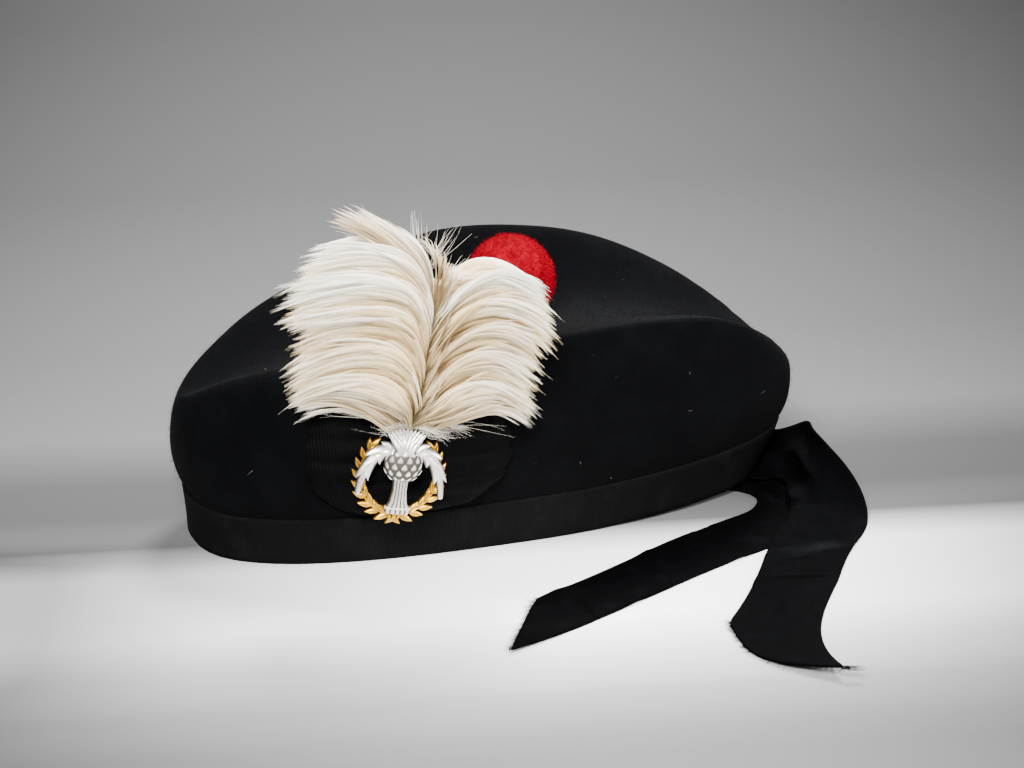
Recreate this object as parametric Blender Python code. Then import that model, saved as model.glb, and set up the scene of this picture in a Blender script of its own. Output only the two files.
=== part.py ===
"""Glengarry: felt crown, ribbon binding and tails, cockade, badge, hackle and toorie.

Lengths are in metres and +Z is up. The front of the cap looks along -X and its badge side
along -Y. The origin is under the middle of the binding at the front of the rim, where the cap
rests. Pieces are modelled around the middle of the rim, and an empty there carries them.
"""

import math
from typing import NamedTuple

import bmesh
import bpy
import numpy as np
from mathutils import Matrix, Vector
from mathutils.bvhtree import BVHTree

# Driving dimensions of the felt
RIM_LENGTH = 0.254
RIM_WIDTH = 0.098
FRONT_SWELL = 0.0085
BACK_SWELL = 0.011
SIDE_SWELL = 0.0125
CROWN_HEIGHT = 0.1035
VALLEY_DEPTH = 0.021
VALLEY_OFFSET = 0.017
FELT_THICKNESS = 0.0022
BACK_BLUNTNESS = 2.05
BACK_FULLNESS = 0.4
REAR_LIFT = 0.0038
LIFT_START = 0.12
LIFT_CURVE = 1.3
SLIT_WIDTH = 0.054

# Driving dimensions of the ribbon
RIBBON_WIDTH = 0.033
RIBBON_THICKNESS = 0.001
BAND_HEIGHT = 0.0195
BAND_INSIDE = 0.016
SLIT_ABOVE_BAND = 0.002
UPPER_TAIL_LENGTH = 0.2125
LOWER_TAIL_LENGTH = 0.2633
LOWER_TAIL_SLANT = 0.043
UPPER_TAIL_POINT = 0.040

# Driving dimensions of the trimmings
TOORIE_RADIUS = 0.0187
TOORIE_ALONG = 0.012
COCKADE_WIDTH = 0.086
COCKADE_HEIGHT = 0.055
COCKADE_DEPTH = 0.0075
COCKADE_FROM_FRONT = 0.0745
COCKADE_ABOVE_BAND = 0.002
COCKADE_FOLDS = 6
BADGE_WIDTH = 0.040
BADGE_HEIGHT = 0.043
BADGE_FROM_FRONT = 0.067
BADGE_BELOW_COCKADE = 0.0045
BADGE_TILT = math.radians(8.0)
WREATH_DEPTH = 0.0022
THISTLE_DEPTH = 0.0046
HACKLE_WIDTH = 0.118
HACKLE_HEIGHT = 0.094
HACKLE_DEPTH = 0.024
HACKLE_FROM_FRONT = 0.071
HACKLE_TUCK = 0.005
HACKLE_LOCKS = 13

# Gap between pieces that touch
CLEARANCE = 0.0003

# Places of the trimmings on the badge side
COCKADE_ALONG = COCKADE_FROM_FRONT - RIM_LENGTH / 2
COCKADE_RISE = BAND_HEIGHT + COCKADE_ABOVE_BAND + COCKADE_HEIGHT / 2
BADGE_ALONG = BADGE_FROM_FRONT - RIM_LENGTH / 2
BADGE_RISE = COCKADE_RISE - BADGE_BELOW_COCKADE
HACKLE_ALONG = HACKLE_FROM_FRONT - RIM_LENGTH / 2
HACKLE_RISE = BADGE_RISE + BADGE_HEIGHT / 2 - HACKLE_TUCK

# Shares and steps of the shapes
STATIONS = 60
BAND_ROWS = 3
RIDGE_CROSSING = 0.5
TAIL_STEPS = 40
TAIL_POINTS = 6
TAIL_SEWN = 0.035
TAIL_FREE = 0.15
SEWN_RISE_SHARE = 0.32
SEWN_COLUMNS = 4
DRAPE_RINGS = 4
DRAPE_DIRECTIONS = 12
DRAPE_REACH = 0.010
DRAPE_SLOPE = 0.4
TIP_BOW = 0.9
TIP_FLARE = 0.62
TIP_CURL = 0.10
TIP_START = 0.74
TIP_LATENESS = 3.0
TIP_NARROWNESS = 5.0
SHARP_ANGLE = 50.0
FOLD_STEPS = 3
FOLD_ROUND = 0.7
FOLD_FLARE = 0.05
FOLD_RELIEF = 0.24
PUFF_SIDES = 0.14
COCKADE_POINTS = 12
COCKADE_SHOULDER = 2.4
COCKADE_ENDS = 0.93
COCKADE_CORNER = 0.42
SIDE_ROLL = 5
END_ROLL = 8
SEAT_GAPS = 3
SEAT_SAMPLES = 16
SEAT_SPREAD = 1.05
HACKLE_SPINE_SHARE = 0.70
HACKLE_STEM = 0.002
HACKLE_SEAT_SHARE = 0.31
STEM_END = 0.30
BODY_EDGE = 0.45
BODY_PEAK = 0.80
TIP_THINNING = 0.90
GROOVE_DEPTH_SHARE = 0.82
LOCK_STEPS = 6
LOCK_NOTCH = 0.10
LOCK_BEND = Vector((0.45, 0.0, 0.75))
LOCK_ARCH = 0.13
EDGE_SHARE = 0.35
BACK_STEP = Vector((0.00004, 0.00006, 0.00003))
DOME_SEGMENTS = 14
DOME_RINGS = 8
SPRAY_WIDTH = 0.0075
SPRAY_LEAVES = 8
LEAF_STEPS = 3
LEAF_NARROWING = 0.55
SPRAY_START = -112.0
SPRAY_END = 42.0
STALK_WIDTH_SHARE = 0.35
STALK_SHARE = 0.30
SPRAY_TIP_SHARE = 0.25
SPRAY_TIP_WIDTH_SHARE = 0.12
TIE_WIDTH_SHARE = 1.2
TIE_DEPTH_SHARE = 1.3
LEAF_TEETH = 5
LEAF_NOTCH = 0.66
LEAF_WIDTH_SHARE = 0.19
LEAF_FULLNESS = 0.6
LEAF_DEPTH_SHARE = 0.62
LEAF_TURN_START = 205.0
LEAF_TURN_END = 10.0
LEAF_MIDDLE_SHARE = 0.245
LEAF_REACH_SHARE = 0.185
LEAF_RISE_SHARE = 0.24
LEAF_DROOP_SHARE = 0.34
LEAF_SHOULDER_SHARE = 0.10
BULB_WIDTH_SHARE = 0.36
BULB_HEIGHT_SHARE = 0.34
BULB_RISE_SHARE = 0.13
TUFT_DEPTH_SHARE = 0.8
STEM_DEPTH_SHARE = 0.7
TOORIE_SEGMENTS = 24
TOORIE_RINGS = 14
TOORIE_TUFT = 0.05
TOORIE_TUFTS_ROUND = 12
TOORIE_TUFTS_UP = 7

# Colours, roughnesses and metallic shares
FELT_COLOUR = (0.012, 0.012, 0.014)
RIBBON_COLOUR = (0.02, 0.021, 0.024)
GILT_COLOUR = (0.80, 0.52, 0.16)
SILVER_COLOUR = (0.80, 0.79, 0.76)
FEATHER_COLOUR = (0.86, 0.82, 0.74)
TOORIE_COLOUR = (0.62, 0.01, 0.01)
WOOL_ROUGHNESS = 0.95
RIBBON_ROUGHNESS = 0.7
FEATHER_ROUGHNESS = 0.8
METAL_ROUGHNESS = 0.3


class WallRow(NamedTuple):
    """A level of the wall: its shares of the height and of the swell, and how blunt its front."""

    rise: float
    swell: float
    blunt: float


class RidgeRow(NamedTuple):
    """A place along the cap, front -1 to back 1, and each ridge's share of the crown height."""

    along: float
    near: float
    far: float


class TopRow(NamedTuple):
    """A line on top: its share of the way from ridge to valley, and of the drop on each side."""

    inward: float
    near_drop: float
    far_drop: float


class TailRow(NamedTuple):
    """A place on a tail: share of the length, heading and roll in degrees, lift and gather."""

    along: float
    heading: float
    roll: float
    lift: float
    gather: float


class ReliefRow(NamedTuple):
    """A place up a raised strip of the badge: its shares of the badge's height and width."""

    up: float
    width: float


class LockRow(NamedTuple):
    """A lock of feather, left to right: its root on the spine, and its tip across and up."""

    root: float
    across: float
    up: float


BAND_WALL = (
    WallRow(rise=0.0, swell=0.0, blunt=2.7),
    WallRow(rise=0.5, swell=0.08, blunt=2.7),
    WallRow(rise=1.0, swell=0.24, blunt=2.7),
)
BELT = WallRow(rise=1.0, swell=0.45, blunt=2.65)
SIDE_WALL = (
    WallRow(rise=0.16, swell=0.76, blunt=2.55),
    WallRow(rise=0.34, swell=0.96, blunt=2.4),
    WallRow(rise=0.54, swell=1.0, blunt=2.2),
    WallRow(rise=0.74, swell=0.98, blunt=1.95),
    WallRow(rise=0.91, swell=0.86, blunt=1.7),
    WallRow(rise=1.0, swell=0.64, blunt=1.55),
)
RIDGE = (
    RidgeRow(along=-1.0, near=0.62, far=0.62),
    RidgeRow(along=-0.94, near=0.70, far=0.70),
    RidgeRow(along=-0.88, near=0.745, far=0.745),
    RidgeRow(along=-0.78, near=0.795, far=0.81),
    RidgeRow(along=-0.64, near=0.83, far=0.875),
    RidgeRow(along=-0.44, near=0.855, far=0.935),
    RidgeRow(along=-0.12, near=0.875, far=0.985),
    RidgeRow(along=0.22, near=0.885, far=1.0),
    RidgeRow(along=0.45, near=0.87, far=0.94),
    RidgeRow(along=0.62, near=0.835, far=0.85),
    RidgeRow(along=0.76, near=0.755, far=0.75),
    RidgeRow(along=0.88, near=0.65, far=0.63),
    RidgeRow(along=1.0, near=0.475, far=0.475),
)
TOP = (
    TopRow(inward=0.12, near_drop=0.06, far_drop=0.12),
    TopRow(inward=0.30, near_drop=0.28, far_drop=0.46),
    TopRow(inward=0.55, near_drop=0.64, far_drop=0.84),
    TopRow(inward=0.80, near_drop=0.92, far_drop=0.98),
    TopRow(inward=1.0, near_drop=1.0, far_drop=1.0),
)
VALLEY_REACH_SHARE = 0.92
UPPER_TAIL = (
    TailRow(along=0.0, heading=-87.0, roll=50.0, lift=0.02, gather=0.0),
    TailRow(along=0.06, heading=-75.0, roll=36.0, lift=0.02, gather=0.04),
    TailRow(along=0.125, heading=-59.0, roll=22.0, lift=0.02, gather=0.07),
    TailRow(along=0.19, heading=-57.0, roll=33.0, lift=0.02, gather=0.09),
    TailRow(along=0.25, heading=-85.0, roll=58.0, lift=0.06, gather=0.12),
    TailRow(along=0.31, heading=-102.0, roll=66.0, lift=0.08, gather=0.18),
    TailRow(along=0.36, heading=-80.0, roll=34.0, lift=0.08, gather=0.18),
    TailRow(along=0.41, heading=-111.0, roll=5.0, lift=0.03, gather=0.03),
    TailRow(along=0.50, heading=-129.0, roll=0.0, lift=0.0, gather=0.0),
    TailRow(along=0.65, heading=-123.0, roll=0.0, lift=0.0, gather=0.0),
    TailRow(along=1.0, heading=-131.0, roll=0.0, lift=0.0, gather=0.0),
)
LOWER_TAIL = (
    TailRow(along=0.0, heading=-67.0, roll=0.0, lift=0.0, gather=0.0),
    TailRow(along=0.08, heading=-62.0, roll=0.0, lift=0.0, gather=0.0),
    TailRow(along=0.20, heading=-64.0, roll=0.0, lift=0.0, gather=0.0),
    TailRow(along=0.255, heading=-77.0, roll=0.0, lift=0.0, gather=0.22),
    TailRow(along=0.30, heading=-96.0, roll=0.0, lift=0.0, gather=0.18),
    TailRow(along=0.36, heading=-128.0, roll=0.0, lift=0.0, gather=0.02),
    TailRow(along=0.42, heading=-155.0, roll=0.0, lift=0.0, gather=0.0),
    TailRow(along=0.50, heading=-158.0, roll=0.0, lift=0.0, gather=0.0),
    TailRow(along=0.65, heading=-153.0, roll=0.0, lift=0.0, gather=0.0),
    TailRow(along=1.0, heading=-158.0, roll=0.0, lift=0.0, gather=0.0),
)
TUFT = (
    ReliefRow(up=0.20, width=0.20),
    ReliefRow(up=0.34, width=0.30),
    ReliefRow(up=0.43, width=0.38),
    ReliefRow(up=0.475, width=0.20),
)
STEM = (
    ReliefRow(up=0.05, width=0.16),
    ReliefRow(up=-0.15, width=0.15),
    ReliefRow(up=-0.33, width=0.26),
    ReliefRow(up=-0.37, width=0.24),
)
LOCKS = (
    LockRow(root=0.02, across=-0.88, up=0.11),
    LockRow(root=0.18, across=-0.97, up=0.28),
    LockRow(root=0.34, across=-1.00, up=0.48),
    LockRow(root=0.50, across=-0.97, up=0.68),
    LockRow(root=0.66, across=-0.84, up=0.86),
    LockRow(root=0.82, across=-0.62, up=0.985),
    LockRow(root=0.94, across=-0.30, up=0.93),
    LockRow(root=1.00, across=0.0, up=0.84),
    LockRow(root=0.94, across=0.28, up=0.81),
    LockRow(root=0.82, across=0.60, up=0.75),
    LockRow(root=0.66, across=0.84, up=0.66),
    LockRow(root=0.50, across=0.98, up=0.50),
    LockRow(root=0.34, across=1.00, up=0.35),
    LockRow(root=0.18, across=0.97, up=0.21),
    LockRow(root=0.02, across=0.90, up=0.09),
)


def smooth_curve(places, values, place):
    """Return the value at a place on a smooth curve through the values at the places."""
    slopes = np.gradient(values, places)
    start = int(np.clip(np.searchsorted(places, place) - 1, 0, len(places) - 2))
    span = places[start + 1] - places[start]
    t = min(max((place - places[start]) / span, 0.0), 1.0)
    blend = t * t * (3 - 2 * t)
    leave = t * (1 - t) ** 2 * span * slopes[start]
    arrive = t * t * (1 - t) * span * slopes[start + 1]
    return values[start] * (1 - blend) + values[start + 1] * blend + leave - arrive


def read(rows, along, column):
    """Return a column of a table whose rows have a place along a length."""
    return smooth_curve([row.along for row in rows], [getattr(row, column) for row in rows],
                        along)


def read_lock(share, column):
    """Return a column of the locks' table, whose rows are evenly spread from left to right."""
    places = [k / (len(LOCKS) - 1) for k in range(len(LOCKS))]
    return smooth_curve(places, [getattr(row, column) for row in LOCKS], share)


def ease(value, start, end):
    """Return a smooth step from 0 at start to 1 at end."""
    t = min(max((value - start) / (end - start), 0.0), 1.0)
    return t * t * (3 - 2 * t)


def power(value, exponent):
    """Return a signed power."""
    return math.copysign(abs(value) ** exponent, value)


def material(name, colour, roughness, metallic=0.0):
    """Return a plain Principled material."""
    made = bpy.data.materials.new(name)
    made.use_nodes = True
    shader = made.node_tree.nodes["Principled BSDF"]
    shader.inputs["Base Color"].default_value = (*colour, 1.0)
    shader.inputs["Roughness"].default_value = roughness
    shader.inputs["Metallic"].default_value = metallic
    return made


def mesh_from(bm, name):
    """Turn a bmesh into a mesh with outward faces, shaded smooth but for its sharp edges."""
    bmesh.ops.recalc_face_normals(bm, faces=bm.faces)
    mesh = bpy.data.meshes.new(name)
    bm.to_mesh(mesh)
    bm.free()
    mesh.shade_smooth()
    mesh.set_sharp_from_angle(angle=math.radians(SHARP_ANGLE))
    return mesh


def triangles_from(bm, name):
    """Turn a bmesh of twisted quads into a mesh of triangles, each cut the short way."""
    bmesh.ops.triangulate(bm, faces=bm.faces, quad_method="SHORT_EDGE")
    return mesh_from(bm, name)


def add_piece(name, mesh, finish, carrier):
    """Put a mesh in the scene as one named piece on its carrier."""
    piece = bpy.data.objects.new(name, mesh)
    bpy.context.scene.collection.objects.link(piece)
    piece.parent = carrier
    mesh.materials.append(finish)
    return piece


def add_grid(bm, rows):
    """Add a grid of quads through rows of points and return its vertices."""
    grid = [[bm.verts.new(point) for point in row] for row in rows]
    for lower, upper in zip(grid, grid[1:]):
        for k in range(len(lower) - 1):
            bm.faces.new((lower[k], lower[k + 1], upper[k + 1], upper[k]))
    return grid


def border(grid):
    """Return the vertices round the edge of a grid, in order."""
    left = [row[0] for row in reversed(grid[1:-1])]
    right = [row[-1] for row in grid[1:-1]]
    return grid[0] + right + grid[-1][::-1] + left


def add_slab(bm, front, back):
    """Add the closed body between two grids of the same shape."""
    front_edge = border(add_grid(bm, front))
    back_edge = border(add_grid(bm, back))
    for k in range(len(front_edge)):
        bm.faces.new((front_edge[k - 1], front_edge[k], back_edge[k], back_edge[k - 1]))


def solid_tree(piece):
    """Return a search tree of a piece's finished surface."""
    return BVHTree.FromObject(piece, bpy.context.evaluated_depsgraph_get())


def wall_depth(trees, x, z):
    """Return the smallest y of the pieces that a line along +Y meets, or None."""
    start = Vector((x, -RIM_LENGTH, z))
    hits = [tree.ray_cast(start, Vector((0, 1, 0)))[0] for tree in trees]
    depths = [hit.y for hit in hits if hit is not None]
    return min(depths) if depths else None


def outline(angle, level):
    """Return the plan point of a level of the wall at an angle from the back."""
    back = math.cos(angle) > 0
    swell = BACK_SWELL * level.swell ** BACK_FULLNESS if back else FRONT_SWELL * level.swell
    reach = RIM_LENGTH / 2 + swell
    exponent = 2 / (BACK_BLUNTNESS if back else level.blunt)
    x = power(math.cos(angle), exponent) * reach
    y = power(math.sin(angle), exponent) * (RIM_WIDTH / 2 + level.swell * SIDE_SWELL)
    return x, y


def rim_lift(x):
    """Return how far the rim has lifted off the floor, which it does towards the back."""
    share = max(x / (RIM_LENGTH / 2) - LIFT_START, 0.0) / (1 - LIFT_START)
    return REAR_LIFT * share ** LIFT_CURVE


def ridge_height(angle):
    """Return the height of the ridge at an angle from the back."""
    along = math.cos(angle)
    far = 0.5 + 0.5 * power(math.sin(angle), RIDGE_CROSSING)
    share = read(RIDGE, along, "near") * (1 - far) + read(RIDGE, along, "far") * far
    return CROWN_HEIGHT * share


def crown_row(level, height, open_angle=0.0):
    """Return one row of the crown; height takes the place's lift and angle."""
    row = []
    for k in range(STATIONS + 1):
        turn = k % STATIONS if open_angle == 0 else k
        angle = open_angle + turn / STATIONS * 2 * (math.pi - open_angle)
        x, y = outline(angle, level)
        row.append(Vector((x, y, height(rim_lift(x), angle))))
    return row


def crown_rows():
    """Return the crown's outer surface, row by row from the rim to the valley."""
    felt_base = RIBBON_THICKNESS + CLEARANCE
    slit_height = BAND_HEIGHT + SLIT_ABOVE_BAND
    belt = felt_base + slit_height
    slit = math.asin(SLIT_WIDTH / RIM_WIDTH)
    rows = []
    for level in BAND_WALL:
        rise = felt_base + level.rise * BAND_HEIGHT
        gap = slit * (1 - level.rise * BAND_HEIGHT / slit_height)
        rows.append(crown_row(level, lambda lift, angle: lift + rise, gap))
    rows.append(crown_row(BELT, lambda lift, angle: lift + belt))
    for level in SIDE_WALL:
        share = level.rise
        rows.append(crown_row(level, lambda lift, angle: (
            (lift + belt) * (1 - share) + ridge_height(angle) * share)))
    ridge = rows[-1]
    for line in TOP:
        row = []
        for k in range(STATIONS + 1):
            angle = (k % STATIONS) / STATIONS * 2 * math.pi
            floor = valley_point(angle)
            drop = line.near_drop if math.sin(angle) < 0 else line.far_drop
            point = ridge[k].lerp(floor, line.inward)
            point.z = ridge[k].z + (floor.z - ridge[k].z) * drop
            row.append(point)
        rows.append(row)
    return rows


def valley_point(angle):
    """Return the valley's lowest point between the two ridges at an angle."""
    along = math.cos(angle) * VALLEY_REACH_SHARE
    spread = math.sqrt(1 - along * along)
    near = read(RIDGE, along, "near")
    far = read(RIDGE, along, "far")
    height = CROWN_HEIGHT * (near + far) / 2 - VALLEY_DEPTH * spread
    x = outline(angle, SIDE_WALL[-1])[0] * VALLEY_REACH_SHARE
    return Vector((x, VALLEY_OFFSET * (1 - along * along), height))


def make_crown(rows, finish, carrier):
    """Make the felt shell: one sheet from the rim over the ridges, thickened inwards."""
    bm = bmesh.new()
    add_grid(bm, rows)
    bmesh.ops.remove_doubles(bm, verts=bm.verts, dist=1e-6)
    piece = add_piece("crown_shell", triangles_from(bm, "crown_shell"), finish, carrier)
    felt = piece.modifiers.new("felt", "SOLIDIFY")
    felt.thickness = FELT_THICKNESS
    felt.offset = -1.0
    felt.use_even_offset = True
    return piece


def band_skins(crown):
    """Return the outer and inner points of the finished felt, row by row up the band."""
    felt = crown.evaluated_get(bpy.context.evaluated_depsgraph_get()).data
    inner_start = len(crown.data.vertices)
    skins = []
    for first in (0, inner_start):
        skins.append([[felt.vertices[first + row * (STATIONS + 1) + k].co.copy()
                       for k in range(STATIONS + 1)] for row in range(BAND_ROWS)])
    return skins


def beyond(skin, other, distance):
    """Return a skin's points moved away from the other skin of the same wall."""
    return [[p + (p - q).normalized() * distance for p, q in zip(row, behind)]
            for row, behind in zip(skin, other)]


def make_binding(felt_skins, finish, carrier):
    """Make the ribbon folded over the rim, clear of the felt inside its fold."""
    felt_outer, felt_inner = felt_skins
    outer, outer_lining = (beyond(felt_outer, felt_inner, CLEARANCE + ply)
                           for ply in (RIBBON_THICKNESS, 0.0))
    inner, inner_lining = (beyond(felt_inner, felt_outer, CLEARANCE + ply)
                           for ply in (RIBBON_THICKNESS, 0.0))
    for leg in (inner_lining, inner):
        share = BAND_INSIDE / BAND_HEIGHT * (BAND_ROWS - 1) - 1
        leg[2] = [low.lerp(high, share) for low, high in zip(leg[1], leg[2])]
    for skin, fold in ((outer, 0.0), (inner, 0.0), (outer_lining, RIBBON_THICKNESS),
                       (inner_lining, RIBBON_THICKNESS)):
        for point, rim in zip(skin[0], felt_outer[0]):
            point.z = rim_lift(rim.x) + fold
    bm = bmesh.new()
    add_slab(bm, outer[::-1] + inner, outer_lining[::-1] + inner_lining)
    return add_piece("rim_binding", triangles_from(bm, "rim_binding"), finish, carrier)


def tail_root(felt_skins, first, last, share):
    """Return the place and direction of a ribbon's end, sewn inside the wall.

    The end lies between two of the band's points, each a row and a column.
    """
    inside = 2 * CLEARANCE + 1.5 * RIBBON_THICKNESS
    skin = beyond(felt_skins[1], felt_skins[0], inside)
    start, end = (skin[row][column] for row, column in (first, last))
    return start.lerp(end, share), (end - start).normalized()


def tail_rows(table, length, sewn_end, folds, support):
    """Return a tail's middle surface: steps along it from its sewn end, points across it."""
    root, root_cross = sewn_end
    half = RIBBON_WIDTH / 2
    centre = root.copy()
    rows = []
    for k in range(TAIL_STEPS + 1):
        along = k / TAIL_STEPS
        heading = math.radians(read(table, along, "heading"))
        roll = math.radians(read(table, along, "roll"))
        gather = max(read(table, along, "gather"), 0.0)
        free = ease(along, TAIL_SEWN, TAIL_FREE)
        flat = Vector((-math.sin(heading), math.cos(heading), 0.0)) * math.cos(roll)
        cross = root_cross.lerp(flat + Vector((0, 0, math.sin(roll))), free).normalized()
        forward = Vector((math.cos(heading), math.sin(heading), 0.0))
        up = forward.cross(cross)
        chord = half * (1 - gather)
        floor = RIBBON_THICKNESS / 2 + max(read(table, along, "lift"), 0.0) * RIBBON_WIDTH
        resting = floor + chord * math.sin(roll)
        middle = Vector((centre.x, centre.y, root.z * (1 - free) + resting * free))
        wave = half / folds * math.sqrt(gather * (2 - gather))
        row = []
        for j in range(TAIL_POINTS + 1):
            across = 2 * j / TAIL_POINTS - 1
            fold = 0.5 + 0.5 * math.cos(math.pi * folds * across)
            point = middle + cross * chord * across + up * wave * fold
            point.z = max(point.z, RIBBON_THICKNESS / 2, height_over(support, point))
            row.append(point)
        rows.append(row)
        centre += forward * length / TAIL_STEPS
    return rows


def height_over(tree, point):
    """Return how high the middle of a ribbon lies where it passes over or near another piece."""
    if tree is None:
        return 0.0
    clear = RIBBON_THICKNESS / 2 + 4 * CLEARANCE
    height = 0.0
    for ring in range(DRAPE_RINGS):
        reach = DRAPE_REACH * ring / (DRAPE_RINGS - 1)
        for k in range(DRAPE_DIRECTIONS if ring else 1):
            angle = 2 * math.pi * k / DRAPE_DIRECTIONS
            start = Vector((point.x + reach * math.cos(angle),
                            point.y + reach * math.sin(angle), CROWN_HEIGHT))
            hit = tree.ray_cast(start, Vector((0, 0, -1)))[0]
            if hit is not None:
                height = max(height, hit.z + clear - reach * DRAPE_SLOPE)
    return height


def make_tail(name, rows, finish, carrier):
    """Make a ribbon tail from its middle surface."""
    bm = bmesh.new()
    add_grid(bm, rows)
    bmesh.ops.remove_doubles(bm, verts=bm.verts, dist=1e-6)
    piece = add_piece(name, triangles_from(bm, name), finish, carrier)
    ribbon = piece.modifiers.new("ribbon", "SOLIDIFY")
    ribbon.thickness = RIBBON_THICKNESS
    ribbon.offset = 0.0
    return piece


def slanted_end(rows, slant, first_step):
    """Stretch a tail's steps so that its last one is cut at a slant, longer on its left."""
    heading = (rows[-1][0] - rows[-2][0]).normalized()
    for k in range(first_step, len(rows)):
        share = (k - first_step) / (len(rows) - 1 - first_step)
        for j, point in enumerate(rows[k]):
            point += heading * slant * share * (j / TAIL_POINTS - 0.5)


def pointed_end(rows, reach, first_step):
    """Draw a tail's last steps out to one long corner, curled up at its tip."""
    heading = (rows[-1][0] - rows[-2][0]).normalized()
    cross = (rows[-1][-1] - rows[-1][0]).normalized()
    for k in range(first_step, len(rows)):
        share = (k - first_step) / (len(rows) - 1 - first_step)
        for j, point in enumerate(rows[k]):
            across = j / TAIL_POINTS
            tip = share ** TIP_LATENESS * across ** TIP_NARROWNESS
            point += heading * reach * TIP_BOW * share * math.sin(across * math.pi / 2)
            point += cross * reach * TIP_FLARE * tip
            point.z += reach * TIP_CURL * tip


def cockade_rows(trees):
    """Return the cockade's front and its back, which follows the felt behind it."""
    steps = COCKADE_FOLDS * FOLD_STEPS
    front = []
    back = []
    for k in range(steps + 1):
        rise = 2 * k / steps - 1
        phase = (k % FOLD_STEPS) / FOLD_STEPS
        crest = math.sin(math.pi * phase) ** FOLD_ROUND if phase else 0.0
        shoulder = 1 - abs(rise) ** COCKADE_SHOULDER * COCKADE_ENDS
        half = COCKADE_WIDTH / 2 * shoulder ** COCKADE_CORNER * (1 - FOLD_FLARE * (1 - crest))
        front_row = []
        back_row = []
        for j in range(COCKADE_POINTS + 1):
            across = 2 * j / COCKADE_POINTS - 1
            x = COCKADE_ALONG + across * half
            z = COCKADE_RISE + rise * COCKADE_HEIGHT / 2
            seat = wall_depth(trees, x, z) - CLEARANCE * SEAT_GAPS
            round_off = math.sqrt((1 - abs(across) ** SIDE_ROLL) * (1 - abs(rise) ** END_ROLL))
            puff = 1 - PUFF_SIDES * (1 - across ** 2) - FOLD_RELIEF * (1 - crest)
            depth = RIBBON_THICKNESS + (COCKADE_DEPTH - RIBBON_THICKNESS) * puff * round_off
            front_row.append(Vector((x, seat - depth, z)))
            back_row.append(Vector((x, seat, z)))
        front.append(front_row)
        back.append(back_row)
    return front, back


def make_cockade(trees, finish, carrier):
    """Make the oval of ribbon folds on the badge side."""
    bm = bmesh.new()
    add_slab(bm, *cockade_rows(trees))
    return add_piece("cockade", triangles_from(bm, "cockade"), finish, carrier)


def oval_samples(width, height):
    """Return points spread over an oval a little wider than a piece."""
    half_x = width / 2 * SEAT_SPREAD
    half_z = height / 2 * SEAT_SPREAD
    samples = []
    for i in range(SEAT_SAMPLES + 1):
        for j in range(SEAT_SAMPLES + 1):
            sample = Vector((2 * i / SEAT_SAMPLES - 1, 0, 2 * j / SEAT_SAMPLES - 1))
            if sample.length <= 1.0:
                samples.append(Vector((half_x * sample.x, 0, half_z * sample.z)))
    return samples


def seat_frame(felt, trees, along, rise, half_width, samples, tilt):
    """Return the frame of a piece laid against others: X along the felt, -Y outwards, Z up.

    The frame faces the way the felt does, and clears what lies behind each of the piece's
    sample points.
    """
    left = Vector((along - half_width, wall_depth([felt], along - half_width, rise), 0))
    right = Vector((along + half_width, wall_depth([felt], along + half_width, rise), 0))
    across = (right - left).normalized()
    inward = Vector((-across.y, across.x, 0))
    lean = Matrix.Rotation(tilt, 3, "Y")
    level = []
    for sample in samples:
        spot = lean @ sample
        depth = wall_depth(trees, along + spot.x, rise + spot.z)
        if depth is not None:
            level.append(Vector((spot.x, depth, 0)).dot(inward))
    plane = min(level) - CLEARANCE
    origin = Vector((along, plane / inward.y, rise))
    turn = Matrix((across, inward, Vector((0, 0, 1)))).transposed()
    return Matrix.Translation(origin) @ (turn @ lean).to_4x4()


def placed(rows, frame):
    """Return rows of points taken from a piece's own frame to the cap's."""
    return [[frame @ point for point in row] for row in rows]


def lock_path(place, notch):
    """Return one line of feather from the spine to its tip, across and up."""
    root = read_lock(place, "root") * HACKLE_SPINE_SHARE * HACKLE_HEIGHT
    across = read_lock(place, "across") * HACKLE_WIDTH / 2
    up = read_lock(place, "up") * HACKLE_HEIGHT
    start = Vector((0, 0, root))
    tip = Vector((across, 0, up))
    bend = start + (tip - start) * LOCK_BEND + Vector((0, 0, HACKLE_HEIGHT * LOCK_ARCH))
    path = []
    for k in range(LOCK_STEPS + 1):
        t = k / LOCK_STEPS * (1 - notch)
        path.append(start * (1 - t) ** 2 + bend * 2 * t * (1 - t) + tip * t * t)
    return path


def make_hackle(felt, trees, finish, carrier):
    """Make the hackle: locks that fan to both sides of a spine, on one backing."""
    columns = 2 * HACKLE_LOCKS
    samples = [point for k in range(columns + 1) for point in lock_path(k / columns, 0.0)]
    frame = seat_frame(felt, trees, HACKLE_ALONG, HACKLE_RISE, HACKLE_WIDTH * HACKLE_SEAT_SHARE,
                       samples, BADGE_TILT)
    front = []
    back = []
    for k in range(columns + 1):
        groove = k % 2 == 0
        path = lock_path(k / columns, LOCK_NOTCH if groove else 0.0)
        front_row = []
        for j, point in enumerate(path):
            out = j / LOCK_STEPS
            arch = math.sin(math.pi * out ** BODY_PEAK)
            body = HACKLE_DEPTH * ease(point.z, 0.0, HACKLE_HEIGHT * STEM_END)
            body *= BODY_EDGE + (1 - BODY_EDGE) * arch
            body *= (GROOVE_DEPTH_SHARE if groove else 1.0) * (1 - TIP_THINNING * out ** 4)
            front_row.append(point - Vector((0, HACKLE_STEM + body, 0)))
        front.append(front_row)
        back.append(path)
    bm = bmesh.new()
    for rows in (front, back):
        rows[:] = placed(rows, frame)
    add_hackle_skins(bm, front, back)
    return add_piece("hackle", triangles_from(bm, "hackle"), finish, carrier)


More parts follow.
